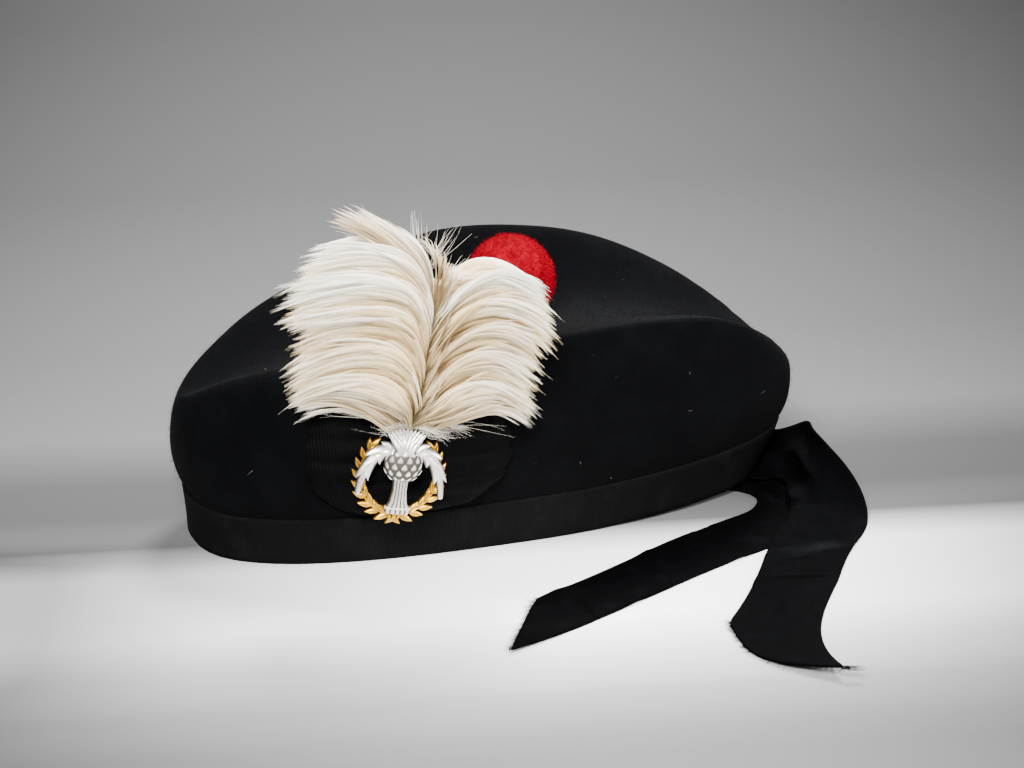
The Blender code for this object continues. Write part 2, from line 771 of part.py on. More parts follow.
def add_hackle_skins(bm, front, back):
    """Add both skins of the hackle and join them round the tips; the roots meet on the spine."""
    rims = []
    for rows in (front, back):
        grid = add_grid(bm, rows)
        tips = [row[-1] for row in grid]
        rims.append(grid[0][:-1] + tips + grid[-1][:-1][::-1])
    for k in range(1, len(rims[0])):
        bm.faces.new((rims[0][k - 1], rims[0][k], rims[1][k], rims[1][k - 1]))
    bmesh.ops.remove_doubles(bm, verts=bm.verts, dist=1e-6)


def relief_strip(path, widths, depth):
    """Return a bmesh of a raised strip with a middle crest, flat behind, along a path."""
    bm = bmesh.new()
    rings = []
    for k, (point, width) in enumerate(zip(path, widths)):
        forward = (path[min(k + 1, len(path) - 1)] - path[max(k - 1, 0)]).normalized()
        side = Vector((forward.z, 0, -forward.x)) * width / 2
        edge = Vector((0, -depth * EDGE_SHARE, 0))
        crest = Vector((0, -depth, 0))
        section = (point - side, point - side + edge, point + crest, point + side + edge,
                   point + side)
        rings.append([bm.verts.new(corner) for corner in section])
    for lower, upper in zip(rings, rings[1:]):
        for k in range(len(lower)):
            bm.faces.new((lower[k - 1], lower[k], upper[k], upper[k - 1]))
    bm.faces.new(rings[0])
    bm.faces.new(rings[-1])
    return bm


def relief_dome(centre, width, height, depth):
    """Return a bmesh of an oval dome, flat behind."""
    bm = bmesh.new()
    bmesh.ops.create_uvsphere(bm, u_segments=DOME_SEGMENTS, v_segments=DOME_RINGS, radius=1.0)
    bmesh.ops.rotate(bm, verts=bm.verts, matrix=Matrix.Rotation(math.pi / 2, 3, "X"))
    bmesh.ops.bisect_plane(bm, geom=bm.verts[:] + bm.edges[:] + bm.faces[:], dist=1e-6,
                           plane_co=(0, 0, 0), plane_no=(0, 1, 0), clear_outer=True)
    bmesh.ops.holes_fill(bm, edges=[edge for edge in bm.edges if edge.is_boundary])
    bmesh.ops.scale(bm, verts=bm.verts, vec=(width / 2, depth, height / 2))
    bmesh.ops.translate(bm, verts=bm.verts, vec=centre)
    return bm


def mirrored(bm):
    """Return a copy of a bmesh turned over from left to right."""
    copy = bm.copy()
    bmesh.ops.scale(copy, verts=copy.verts, vec=(-1, 1, 1))
    bmesh.ops.reverse_faces(copy, faces=copy.faces)
    return copy


def fused(name, bodies):
    """Return one mesh: the union of several closed bodies, each a hair behind the last."""
    objects = []
    for k, bm in enumerate(bodies):
        bmesh.ops.translate(bm, verts=bm.verts, vec=BACK_STEP * k)
        body = bpy.data.objects.new(f"{name}_{k}", mesh_from(bm, f"{name}_{k}"))
        bpy.context.scene.collection.objects.link(body)
        objects.append(body)
    for other in objects[1:]:
        union = objects[0].modifiers.new(other.name, "BOOLEAN")
        union.operation = "UNION"
        union.object = other
        union.solver = "EXACT"
    graph = bpy.context.evaluated_depsgraph_get()
    mesh = bpy.data.meshes.new_from_object(objects[0].evaluated_get(graph))
    for body in objects:
        bpy.data.objects.remove(body)
    mesh.name = name
    return mesh


def spray_path():
    """Return the stem of the right laurel spray and its width at each step, leaf by leaf."""
    path = []
    widths = []
    steps = SPRAY_LEAVES * LEAF_STEPS
    for k in range(steps + 1):
        along = k / steps
        angle = math.radians(SPRAY_START + (SPRAY_END - SPRAY_START) * along)
        path.append(Vector((math.cos(angle) * (BADGE_WIDTH - SPRAY_WIDTH) / 2, 0,
                            math.sin(angle) * (BADGE_HEIGHT - SPRAY_WIDTH) / 2)))
        leaf = 1 - LEAF_NARROWING * (k % LEAF_STEPS) / (LEAF_STEPS - 1)
        stalk = min(STALK_WIDTH_SHARE + (1 - STALK_WIDTH_SHARE) * along / STALK_SHARE, 1.0)
        tip = min(SPRAY_TIP_WIDTH_SHARE + (1 - along) / SPRAY_TIP_SHARE, 1.0)
        widths.append(SPRAY_WIDTH * leaf * stalk * tip)
    return path, widths


def make_wreath(felt, trees, finish, carrier):
    """Make the two gilt laurel sprays, crossed and tied below."""
    frame = seat_frame(felt, trees, BADGE_ALONG, BADGE_RISE, BADGE_WIDTH / 2,
                       oval_samples(BADGE_WIDTH, BADGE_HEIGHT), BADGE_TILT)
    spray = relief_strip(*spray_path(), WREATH_DEPTH)
    foot = Vector((0, 0, -(BADGE_HEIGHT - SPRAY_WIDTH) / 2))
    knot = SPRAY_WIDTH * TIE_WIDTH_SHARE
    tie = relief_dome(foot, knot, knot, WREATH_DEPTH * TIE_DEPTH_SHARE)
    mesh = fused("badge_wreath", [spray, mirrored(spray), tie])
    mesh.transform(frame)
    return add_piece("badge_wreath", mesh, finish, carrier)


def leaf_path():
    """Return the right thistle leaf's midrib, arched out and down, and its toothed widths."""
    path = []
    widths = []
    steps = LEAF_TEETH * 2
    for k in range(steps + 1):
        along = k / steps
        angle = math.radians(LEAF_TURN_START + (LEAF_TURN_END - LEAF_TURN_START) * along)
        across = LEAF_MIDDLE_SHARE + LEAF_REACH_SHARE * math.cos(angle)
        up = LEAF_SHOULDER_SHARE + LEAF_RISE_SHARE * math.sin(angle) - LEAF_DROOP_SHARE * along ** 2
        path.append(Vector((BADGE_WIDTH * across, 0, BADGE_HEIGHT * up)))
        shape = math.sin(math.pi * (k + 1) / (steps + 2)) ** LEAF_FULLNESS
        widths.append(BADGE_WIDTH * LEAF_WIDTH_SHARE * shape * (1.0 if k % 2 else LEAF_NOTCH))
    return path, widths


def relief_table(rows, depth):
    """Return a bmesh of an upright raised strip of the badge through a table's rows."""
    path = [Vector((0, 0, BADGE_HEIGHT * row.up)) for row in rows]
    return relief_strip(path, [BADGE_WIDTH * row.width for row in rows], depth)


def make_thistle(felt, trees, finish, carrier):
    """Make the white metal thistle: bulb, tuft and stem between two toothed leaves."""
    frame = seat_frame(felt, trees, BADGE_ALONG, BADGE_RISE, BADGE_WIDTH / 2,
                       oval_samples(BADGE_WIDTH, BADGE_HEIGHT), BADGE_TILT)
    leaf = relief_strip(*leaf_path(), THISTLE_DEPTH * LEAF_DEPTH_SHARE)
    middle = Vector((0, 0, BADGE_HEIGHT * BULB_RISE_SHARE))
    bulb = relief_dome(middle, BADGE_WIDTH * BULB_WIDTH_SHARE, BADGE_HEIGHT * BULB_HEIGHT_SHARE,
                       THISTLE_DEPTH)
    tuft = relief_table(TUFT, THISTLE_DEPTH * TUFT_DEPTH_SHARE)
    stem = relief_table(STEM, THISTLE_DEPTH * STEM_DEPTH_SHARE)
    mesh = fused("badge_thistle", [bulb, leaf, mirrored(leaf), tuft, stem])
    mesh.transform(frame)
    return add_piece("badge_thistle", mesh, finish, carrier)


def make_toorie(tree, finish, carrier):
    """Make the dense wool ball, in shallow tufts, where it sits in the valley."""
    bm = bmesh.new()
    bmesh.ops.create_uvsphere(bm, u_segments=TOORIE_SEGMENTS, v_segments=TOORIE_RINGS,
                              radius=TOORIE_RADIUS)
    for vert in bm.verts:
        turn = math.atan2(vert.co.y, vert.co.x)
        tilt = math.asin(min(max(vert.co.z / TOORIE_RADIUS, -1.0), 1.0))
        tuft = math.sin(TOORIE_TUFTS_ROUND * turn) * math.cos(tilt)
        tuft *= math.sin(TOORIE_TUFTS_UP * tilt)
        vert.co *= 1 - TOORIE_TUFT * (0.5 + 0.5 * tuft)
    rest = 0.0
    for ring in range(SEAT_SAMPLES):
        reach = TOORIE_RADIUS * ring / SEAT_SAMPLES
        for k in range(DRAPE_DIRECTIONS):
            angle = 2 * math.pi * k / DRAPE_DIRECTIONS
            above = Vector((TOORIE_ALONG + reach * math.cos(angle), reach * math.sin(angle),
                            2 * CROWN_HEIGHT))
            hit = tree.ray_cast(above, Vector((0, 0, -1)))[0]
            rest = max(rest, hit.z + math.sqrt(TOORIE_RADIUS ** 2 - reach ** 2))
    bmesh.ops.translate(bm, verts=bm.verts, vec=(TOORIE_ALONG, 0, rest))
    return add_piece("toorie", mesh_from(bm, "toorie"), finish, carrier)


def clear_scene():
    """Remove what the scene holds."""
    for old in list(bpy.data.objects):
        bpy.data.objects.remove(old)


def make_cap():
    """Make every piece of the cap around the middle of its rim."""
    wool = material("black_felt", FELT_COLOUR, WOOL_ROUGHNESS)
    ribbon = material("black_ribbon", RIBBON_COLOUR, RIBBON_ROUGHNESS)
    gilt = material("gilt", GILT_COLOUR, METAL_ROUGHNESS, 1.0)
    white_metal = material("white_metal", SILVER_COLOUR, METAL_ROUGHNESS, 1.0)
    feather = material("feather", FEATHER_COLOUR, FEATHER_ROUGHNESS)
    red_wool = material("red_wool", TOORIE_COLOUR, WOOL_ROUGHNESS)

    rim_middle = bpy.data.objects.new("rim_middle", None)
    rim_middle.location.x = RIM_LENGTH / 2 - (FELT_THICKNESS / 2)
    bpy.context.scene.collection.objects.link(rim_middle)

    shell = make_crown(crown_rows(), wool, rim_middle)
    felt_skins = band_skins(shell)
    crown = solid_tree(shell)
    binding = solid_tree(make_binding(felt_skins, ribbon, rim_middle))

    along_rim = tail_root(felt_skins, (0, SEWN_COLUMNS), (0, 0), 0.5)
    lower = tail_rows(LOWER_TAIL, LOWER_TAIL_LENGTH, along_rim, 3, None)
    slanted_end(lower, LOWER_TAIL_SLANT, TAIL_STEPS // 2)
    lower_tree = solid_tree(make_tail("tail_lower", lower, ribbon, rim_middle))
    along_slit = tail_root(felt_skins, (0, 0), (BAND_ROWS - 1, 0), SEWN_RISE_SHARE)
    upper = tail_rows(UPPER_TAIL, UPPER_TAIL_LENGTH, along_slit, 2, lower_tree)
    pointed_end(upper, UPPER_TAIL_POINT, round(TAIL_STEPS * TIP_START))
    make_tail("tail_upper", upper, ribbon, rim_middle)

    cockade = solid_tree(make_cockade([crown, binding], ribbon, rim_middle))
    hackle = solid_tree(make_hackle(crown, [crown, cockade], feather, rim_middle))
    wreath = solid_tree(make_wreath(crown, [cockade], gilt, rim_middle))
    make_thistle(crown, [wreath, hackle], white_metal, rim_middle)
    make_toorie(crown, red_wool, rim_middle)


clear_scene()
make_cap()
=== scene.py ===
"""Glengarry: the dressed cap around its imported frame, on a pale floor in soft studio light.

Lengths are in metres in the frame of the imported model. The front of the cap looks along -X, its
badge side along -Y and +Z is up, with the floor at 0. Each class holds the sizes of one part of
the cap and builds its pieces, and each finish is a small class that makes one material.
"""

import heapq
import logging
import math
from dataclasses import dataclass
from enum import Enum
from typing import Callable, Sequence

import bmesh
import bpy
import numpy as np
from mathutils import Matrix, Vector, noise
from mathutils.bvhtree import BVHTree


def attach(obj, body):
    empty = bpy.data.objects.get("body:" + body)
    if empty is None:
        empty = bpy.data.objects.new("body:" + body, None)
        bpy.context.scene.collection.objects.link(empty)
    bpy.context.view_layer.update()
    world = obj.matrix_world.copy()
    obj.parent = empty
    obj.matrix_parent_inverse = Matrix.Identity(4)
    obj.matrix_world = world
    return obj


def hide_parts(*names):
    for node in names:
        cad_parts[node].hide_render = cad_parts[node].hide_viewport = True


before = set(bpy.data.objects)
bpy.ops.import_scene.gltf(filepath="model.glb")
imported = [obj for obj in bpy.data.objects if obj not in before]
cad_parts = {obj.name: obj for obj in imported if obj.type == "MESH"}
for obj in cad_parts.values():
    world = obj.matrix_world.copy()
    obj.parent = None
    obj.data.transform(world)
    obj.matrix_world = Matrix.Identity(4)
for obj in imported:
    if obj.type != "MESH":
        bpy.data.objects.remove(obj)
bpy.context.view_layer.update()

BODY = "root"
LOG = logging.getLogger("glengarry")
RIM_MIDDLE = Vector((0.1259, 0.0, 0.0))
MERGE = 1e-5
FLAT_JOIN = math.radians(35)
SHAPE_JOIN = math.radians(60)
NOISE_ROUGHNESS = 0.6
THREADS_PER_METRE = 500.0
MIX_INPUTS = (0, 6, 7)
MIX_RESULT = 2


class Slot(Enum):
    """The record's material slots."""

    FELT = "black_felt"
    RIBBON = "black_ribbon"
    GILT = "gilt"
    WHITE_METAL = "white_metal"
    FEATHER = "feather"
    WOOL = "red_wool"


class Side(Enum):
    """The two lobes of the hackle, as the sign of their place across it."""

    FRONT = -1
    BACK = 1


class Wire:
    """A value in a material: the output of a node, used in Python expressions."""

    def __init__(self, graph: "Graph", socket: bpy.types.NodeSocket) -> None:
        """Wrap a socket.

        Args:
            graph: the material's graph that the socket is in.
            socket: the node output.
        """
        self.graph = graph
        self.socket = socket

    def __add__(self, other: "Wire | float") -> "Wire":
        """Return the sum."""
        return self.graph.maths("ADD", self, other)

    __radd__ = __add__

    def __sub__(self, other: "Wire | float") -> "Wire":
        """Return the difference."""
        return self.graph.maths("SUBTRACT", self, other)

    def __rsub__(self, other: float) -> "Wire":
        """Return the difference."""
        return self.graph.maths("SUBTRACT", other, self)

    def __mul__(self, other: "Wire | float") -> "Wire":
        """Return the product."""
        return self.graph.maths("MULTIPLY", self, other)

    __rmul__ = __mul__


Value = Wire | float | tuple


class Graph:
    """The nodes of one material, around one Principled shader."""

    def __init__(self, name: str) -> None:
        """Start an empty material.

        Args:
            name: the material's name.
        """
        self.material = bpy.data.materials.new(name)
        self.material.use_nodes = True
        self.tree = self.material.node_tree
        self.shader = self.tree.nodes["Principled BSDF"]

    def put(self, socket: bpy.types.NodeSocket, value: Value) -> None:
        """Set a socket to a value, or link it to a wire."""
        if isinstance(value, Wire):
            self.tree.links.new(value.socket, socket)
        else:
            socket.default_value = value

    def node(self, kind: str, settings: dict[str, object],
             sockets: dict[str | int, Value]) -> bpy.types.Node:
        """Add a node.

        Args:
            kind: the node's type without its ShaderNode prefix.
            settings: the node's properties; "stops" holds a ramp's places and colours.
            sockets: values or wires of the node's inputs, by name or number.

        Returns:
            The node.
        """
        made = self.tree.nodes.new(f"ShaderNode{kind}")
        for name, value in settings.items():
            if name == "stops":
                while len(made.color_ramp.elements) < len(value):
                    made.color_ramp.elements.new(1.0)
                for element, (place, colour) in zip(made.color_ramp.elements, value):
                    element.position = place
                    element.color = (*colour, 1.0)
            else:
                setattr(made, name, value)
        for name, value in sockets.items():
            self.put(made.inputs[name], value)
        return made

    def maths(self, operation: str, *values: Value) -> Wire:
        """Return the result of a Math node."""
        made = self.node("Math", {"operation": operation}, dict(enumerate(values)))
        return Wire(self, made.outputs[0])

    def place(self) -> Wire:
        """Return the place on the object, in metres."""
        return Wire(self, self.node("TexCoord", {}, {}).outputs["Object"])

    def stored(self, name: str) -> Wire:
        """Return a number stored on the mesh."""
        made = self.node("Attribute", {"attribute_name": name}, {})
        return Wire(self, made.outputs["Fac"])

    def noise(self, where: Wire, size: float, detail: float = 3.0) -> Wire:
        """Return soft noise from about 0 to 1 whose grains have a size in metres."""
        made = self.node("TexNoise", {}, {"Vector": where, "Scale": 1 / size,
                                          "Detail": detail, "Roughness": NOISE_ROUGHNESS})
        return Wire(self, made.outputs["Fac"])

    def line_noise(self, where: Wire, size: float) -> Wire:
        """Return noise from about 0 to 1 that changes with one number alone."""
        made = self.node("TexNoise", {"noise_dimensions": "1D"},
                         {"W": where * (1 / size), "Detail": 2.0, "Roughness": NOISE_ROUGHNESS})
        return Wire(self, made.outputs["Fac"])

    def stretched(self, where: Wire, scale: tuple, turn: tuple) -> Wire:
        """Return a place that is turned and then scaled along each axis."""
        made = self.node("Mapping", {}, {"Vector": where, "Scale": scale, "Rotation": turn})
        return Wire(self, made.outputs["Vector"])

    def between(self, share: Wire, low: float, high: float) -> Wire:
        """Return 0 below low, 1 above high and a smooth step from one to the other."""
        made = self.node("MapRange", {"interpolation_type": "SMOOTHSTEP"},
                         {"Value": share, "From Min": low, "From Max": high})
        return Wire(self, made.outputs["Result"])

    def ramp(self, share: Wire, *stops: tuple) -> Wire:
        """Return a colour from a ramp of places and colours."""
        made = self.node("ValToRGB", {"stops": stops}, {"Fac": share})
        return Wire(self, made.outputs["Color"])

    def mix(self, share: Value, low: Value, high: Value) -> Wire:
        """Return a colour between two others."""
        colours = [(*c, 1.0) if isinstance(c, tuple) else c for c in (low, high)]
        made = self.node("Mix", {"data_type": "RGBA"}, dict(zip(MIX_INPUTS, (share, *colours))))
        return Wire(self, made.outputs[MIX_RESULT])

    def relief(self, height: Wire, depth: float, strength: float = 1.0) -> Wire:
        """Return the normal of a surface with a relief of a depth in metres."""
        made = self.node("Bump", {}, {"Height": height, "Distance": depth,
                                      "Strength": strength})
        return Wire(self, made.outputs["Normal"])

    def dress(self, **values: Value) -> bpy.types.Material:
        """Set the shader's sockets, whose names have _ for a space, and return the material."""
        for name, value in values.items():
            self.put(self.shader.inputs[name.replace("_", " ")], value)
        return self.material


@dataclass(frozen=True)
class FeltFinish:
    """Milled black wool felt: a close matt nap with a faint bloom in soft clouds."""

    dark: tuple = (0.0003, 0.00035, 0.0005)
    bloom: tuple = (0.0011, 0.0012, 0.0014)
    grain: float = 0.0007
    cloud: float = 0.018
    cloud_share: float = 0.55
    cloud_edges: tuple = (0.35, 0.75)
    nap_edges: tuple = (0.45, 0.75)
    tufts: float = 0.8
    depth: float = 0.00035
    roughness: float = 0.97
    specular: float = 0.035
    sheen: float = 0.005
    sheen_roughness: float = 0.45
    sheen_tint: tuple = (0.55, 0.57, 0.62, 1.0)

    def material(self) -> bpy.types.Material:
        """Return the felt's material."""
        g = Graph("black_felt")
        where = g.place()
        nap = g.noise(where, self.grain, 4.0)
        cloud = g.noise(where, self.cloud, 2.0)
        bloom = g.between(cloud, *self.cloud_edges) * self.cloud_share
        bloom = bloom + g.between(nap, *self.nap_edges) * (1 - self.cloud_share)
        height = nap + g.noise(where, self.grain * 5) * self.tufts
        return g.dress(Base_Color=g.mix(bloom, self.dark, self.bloom), Roughness=self.roughness,
                       Normal=g.relief(height, self.depth), Specular_IOR_Level=self.specular,
                       Sheen_Weight=self.sheen, Sheen_Roughness=self.sheen_roughness,
                       Sheen_Tint=self.sheen_tint)


@dataclass(frozen=True)
class RibbonFinish:
    """Black ribbed ribbon: ribs across its width, with a dull lustre and rubbed places."""

    name: str
    rib: float = 0.00095
    depth: float = 0.00016
    dark: tuple = (0.0003, 0.00033, 0.00045)
    worn: tuple = (0.0045, 0.0047, 0.0052)
    patch: float = 0.011
    patch_edges: tuple = (0.48, 0.72)
    rubbed: float = 0.32
    bands: tuple = ()
    band_full: float = 0.45
    band_patch: float = 0.030
    band_edges: tuple = (0.40, 0.62)
    band_rubbed: float = 0.9
    crest_share: float = 0.65
    slub_share: float = 0.10
    slub_depth: float = 0.5
    slub_roughness: float = 0.18
    roughness: float = 0.66
    specular: float = 0.05

    def material(self) -> bpy.types.Material:
        """Return the ribbon's material, which reads the distance stored along the ribbon."""
        g = Graph(self.name)
        where = g.place()
        along = g.stored("along")
        ribs = g.maths("SINE", along * (2 * math.pi / self.rib)) * 0.5 + 0.5
        slub = g.noise(where, self.rib * 1.5, 4.0)
        wear = g.between(g.noise(where, self.patch), *self.patch_edges) * self.rubbed
        for middle, half in self.bands:
            away = g.maths("ABSOLUTE", along - middle)
            aside = g.between(g.noise(where, self.band_patch, 1.0), *self.band_edges)
            inside = 1 - g.between(away, half * self.band_full, half)
            wear = wear + inside * aside * self.band_rubbed
        shade = wear * (ribs * self.crest_share + (1 - self.crest_share))
        shade = shade + slub * self.slub_share
        return g.dress(Base_Color=g.mix(shade, self.dark, self.worn),
                       Roughness=self.roughness + slub * self.slub_roughness,
                       Normal=g.relief(ribs + slub * self.slub_depth, self.depth),
                       Specular_IOR_Level=self.specular)


@dataclass(frozen=True)
class MetalFinish:
    """Stamped metal: polished where it stands proud, darker and duller in its hollows."""

    name: str
    bright: tuple
    tarnish: tuple
    hollow: float
    roughness: float = 0.30
    hollow_roughness: float = 0.25
    spot_roughness: float = 0.10
    low: float = 0.28
    spot: float = 0.0016
    spot_share: float = 0.35
    dimple: float = 0.0009
    scratch: float = 0.0011
    scratch_stretch: tuple = (1.0, 1.0, 7.0)
    scratch_turn: tuple = (0.0, 0.5, 0.0)
    scratch_share: float = 0.6
    depth: float = 0.00009

    def material(self) -> bpy.types.Material:
        """Return the metal's material, which reads how proud each place stands."""
        g = Graph(self.name)
        where = g.place()
        spots = g.noise(where, self.spot, 5.0)
        height = g.stored("proud") + spots * self.spot_share
        proud = g.between(height, self.low, self.low + self.hollow)
        hammer = g.noise(where, self.dimple, 4.0)
        drawn = g.stretched(where, self.scratch_stretch, self.scratch_turn)
        marks = hammer + g.noise(drawn, self.scratch) * self.scratch_share
        dull = (1 - proud) * self.hollow_roughness
        return g.dress(Base_Color=g.mix(proud, self.tarnish, self.bright), Metallic=1.0,
                       Roughness=self.roughness + dull + spots * self.spot_roughness,
                       Normal=g.relief(marks, self.depth))


@dataclass(frozen=True)
class FeatherFinish:
    """White feather: fine barbs side by side, bright at the tips and creamy at the roots, in
    tones that run down to a painted shade colour.
    """

    # Painted shade for the lowest tones, then the feather's own cream and white.
    painted_shade: tuple = (0.26, 0.16, 0.07)
    cream: tuple = (0.74, 0.55, 0.27)
    white: tuple = (0.98, 0.94, 0.83)
    barb: float = 0.22
    barb_share: float = 0.6
    streak: float = 0.45
    mottle: float = 0.006
    mottle_share: float = 0.12
    stops: tuple = (0.10, 0.48, 0.94)
    roughness: float = 0.5
    specular: float = 0.3
    depth: float = 0.00022
    relief: float = 0.8

    def material(self) -> bpy.types.Material:
        """Return the feather's material, which reads the tone and thread of each strand."""
        g = Graph("feather")
        fine = g.line_noise(g.stored("thread"), self.barb)
        broad = g.line_noise(g.stored("thread"), self.barb * 5)
        streaks = fine * self.barb_share + broad * (1 - self.barb_share)
        tone = g.stored("tone") + (streaks - 0.5) * self.streak
        tone = tone + (g.noise(g.place(), self.mottle, 2.0) - 0.5) * self.mottle_share
        colour = g.ramp(tone, *zip(self.stops, (self.painted_shade, self.cream, self.white)))
        return g.dress(Base_Color=colour, Roughness=self.roughness,
                       Specular_IOR_Level=self.specular,
                       Normal=g.relief(streaks, self.depth, self.relief))


@dataclass(frozen=True)
class WoolFinish:
    """Dyed red wool pile, with painted shade between its tufts and a painted highlight at its
    ends.
    """

    # Painted shade for the hollows between the tufts; bright is the red at the ends, with a
    # painted highlight.
    painted_shade: tuple = (0.050, 0.0, 0.0010)
    bright: tuple = (0.20, 0.0, 0.0065)
    tuft: float = 0.0013
    tuft_share: float = 0.5
    tone_share: float = 0.75
    stops: tuple = (0.15, 0.75)
    crimp: float = 0.0008
    depth: float = 0.0003
    roughness: float = 0.95

    def material(self) -> bpy.types.Material:
        """Return the wool's material, which reads the tone stored on it."""
        g = Graph("red_wool")
        where = g.place()
        tufts = g.noise(where, self.tuft, 4.0) * self.tuft_share
        tone = g.stored("tone") * self.tone_share + tufts
        # From painted shade between the tufts to the bright red, with painted highlight, at their
        # ends.
        colour = g.ramp(tone, *zip(self.stops, (self.painted_shade, self.bright)))
        return g.dress(Base_Color=colour, Roughness=self.roughness, Specular_IOR_Level=0.0,
                       Normal=g.relief(g.noise(where, self.crimp, 4.0), self.depth))


@dataclass(frozen=True)
class FloorWithPaintedLight:
    """Pale studio floor with painted light: a painted pool of light in front of the cap that
    falls off into painted shade to the sides and towards the camera, a painted shadow band just
    behind the cap, and a grey backdrop beyond that darkens into the distance.
    """

    turn: float = math.radians(20.0)
    slant: float = 0.138
    aim: float = 0.042
    lean: float = 0.08
    # The least share that the painted falloff to the sides leaves of the floor's tone.
    darkest: float = 0.16
    nearest: float = -0.30
    farthest: float = 0.80
    # The painted pool of light's width to the sides, and how much it widens behind the cap and
    # towards the camera.
    pool: tuple = (0.160, 0.20, 0.05)
    behind_edges: tuple = (-0.05, 0.0)
    before_edges: tuple = (0.15, 0.25)
    roughness: float = 0.8
    specular: float = 0.05
    # Painted light by distance back: darker near the camera, a bright painted pool in front of
    # the cap, a painted shadow band just behind it, then a grey backdrop that darkens into the
    # distance.
    tones: tuple = ((-0.26, 0.11), (-0.237, 0.13), (-0.203, 0.22), (-0.166, 0.48), (-0.129, 0.90),
                    (-0.064, 0.90), (-0.034, 0.10), (0.000, 0.058), (0.040, 0.062),
                    (0.095, 0.115), (0.199, 0.088), (0.445, 0.056), (0.78, 0.043))

    def material(self) -> bpy.types.Material:
        """Return the floor's material."""
        g = Graph("studio_floor")
        turned = g.node("Mapping", {"vector_type": "POINT"}, {
            "Vector": g.place(), "Rotation": (0.0, 0.0, self.turn),
            "Location": tuple(-(Matrix.Rotation(self.turn, 3, "Z") @ RIM_MIDDLE))})
        parts = g.node("SeparateXYZ", {}, {"Vector": Wire(g, turned.outputs["Vector"])})
        aside = Wire(g, parts.outputs["X"])
        back = Wire(g, parts.outputs["Y"]) - aside * self.slant
        share = (back - self.nearest) * (1 / (self.farthest - self.nearest))
        stops = [((place - self.nearest) / (self.farthest - self.nearest), (tone,) * 3)
                 for place, tone in self.tones]
        # Painted pool of light: the floor darkens to the sides of the pool's middle, which the
        # aim and, behind the cap, the lean shift.
        near, behind, before = self.pool
        beyond = g.between(back, *self.behind_edges)
        wide = near + beyond * behind + g.between(0 - back, *self.before_edges) * before
        away = g.maths("DIVIDE", aside - self.aim + beyond * self.lean, wide)
        fall = g.maths("MAXIMUM", g.maths("EXPONENT", 0 - away * away), self.darkest)
        # The ramp's painted light and shade, dimmed by the painted falloff to the sides.
        colour = g.mix(fall, (0.0, 0.0, 0.0), g.ramp(share, *stops))
        return g.dress(Base_Color=colour, Roughness=self.roughness,
                       Specular_IOR_Level=self.specular)


def linked(name: str, data: bpy.types.ID) -> bpy.types.Object:
    """Return a new object of the scene that holds a mesh, a light or a camera."""
    made = bpy.data.objects.new(name, data)
    bpy.context.scene.collection.objects.link(made)
    return made


def show(name: str, mesh: bpy.types.Mesh, finish: bpy.types.Material,
         replaced: Sequence[str] = ()) -> bpy.types.Object:
    """Put a finished mesh in the scene as one piece of the cap.

    Args:
        name: the piece's name.
        mesh: its mesh, in place.
        finish: its material.
        replaced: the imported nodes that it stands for.

    Returns:
        The piece's object.
    """
    piece = linked(name, mesh)
    mesh.materials.clear()
    mesh.materials.append(finish)
    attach(piece, BODY)
    if replaced:
        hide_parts(*replaced)
    mesh.calc_loop_triangles()
    LOG.info("%s: %d triangles", name, len(mesh.loop_triangles))
    return piece


def mesh_of(bm: bmesh.types.BMesh, name: str) -> bpy.types.Mesh:
    """Turn a bmesh into a smooth-shaded mesh and free it."""
    mesh = bpy.data.meshes.new(name)
    bm.to_mesh(mesh)
    bm.free()
    mesh.shade_smooth()
    return mesh


def store(mesh: bpy.types.Mesh, name: str, values: np.ndarray) -> None:
    """Store one number for each vertex of a mesh."""
    made = mesh.attributes.new(name, "FLOAT", "POINT")
    made.data.foreach_set("value", np.ascontiguousarray(values, np.float32).ravel())


def stored(mesh: bpy.types.Mesh, name: str) -> np.ndarray:
    """Return the number that is stored for each vertex of a mesh."""
    found = np.zeros(len(mesh.vertices), np.float32)
    mesh.attributes[name].data.foreach_get("value", found)
    return found


def rows_of(items: bpy.types.bpy_prop_collection, name: str) -> np.ndarray:
    """Return one vector of each item as an array of rows."""
    found = np.zeros(len(items) * 3, np.float32)
    items.foreach_get(name, found)
    return found.reshape(-1, 3).astype(float)


def places(mesh: bpy.types.Mesh) -> np.ndarray:
    """Return a mesh's vertices as an array of rows."""
    return rows_of(mesh.vertices, "co")


def normals(mesh: bpy.types.Mesh) -> np.ndarray:
    """Return the vertex normals of a mesh as an array of rows."""
    return rows_of(mesh.vertex_normals, "vector")


def roughness_at(where: np.ndarray, size: float) -> np.ndarray:
    """Return smooth noise, about -1 to 1, at each place, with grains of a size in metres."""
    return np.array([noise.noise(Vector(place) / size) for place in where])


def move(mesh: bpy.types.Mesh, where: np.ndarray) -> None:
    """Move a mesh's vertices to new places."""
    mesh.vertices.foreach_set("co", where.astype(np.float32).ravel())
    mesh.update()


def welded(node: str) -> bmesh.types.BMesh:
    """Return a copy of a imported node's mesh with its loose triangles joined up."""
    bm = bmesh.new()
    bm.from_mesh(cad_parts[node].data)
    bmesh.ops.remove_doubles(bm, verts=bm.verts, dist=MERGE)
    bmesh.ops.join_triangles(bm, faces=bm.faces, angle_face_threshold=FLAT_JOIN,
                             angle_shape_threshold=SHAPE_JOIN)
    return bm


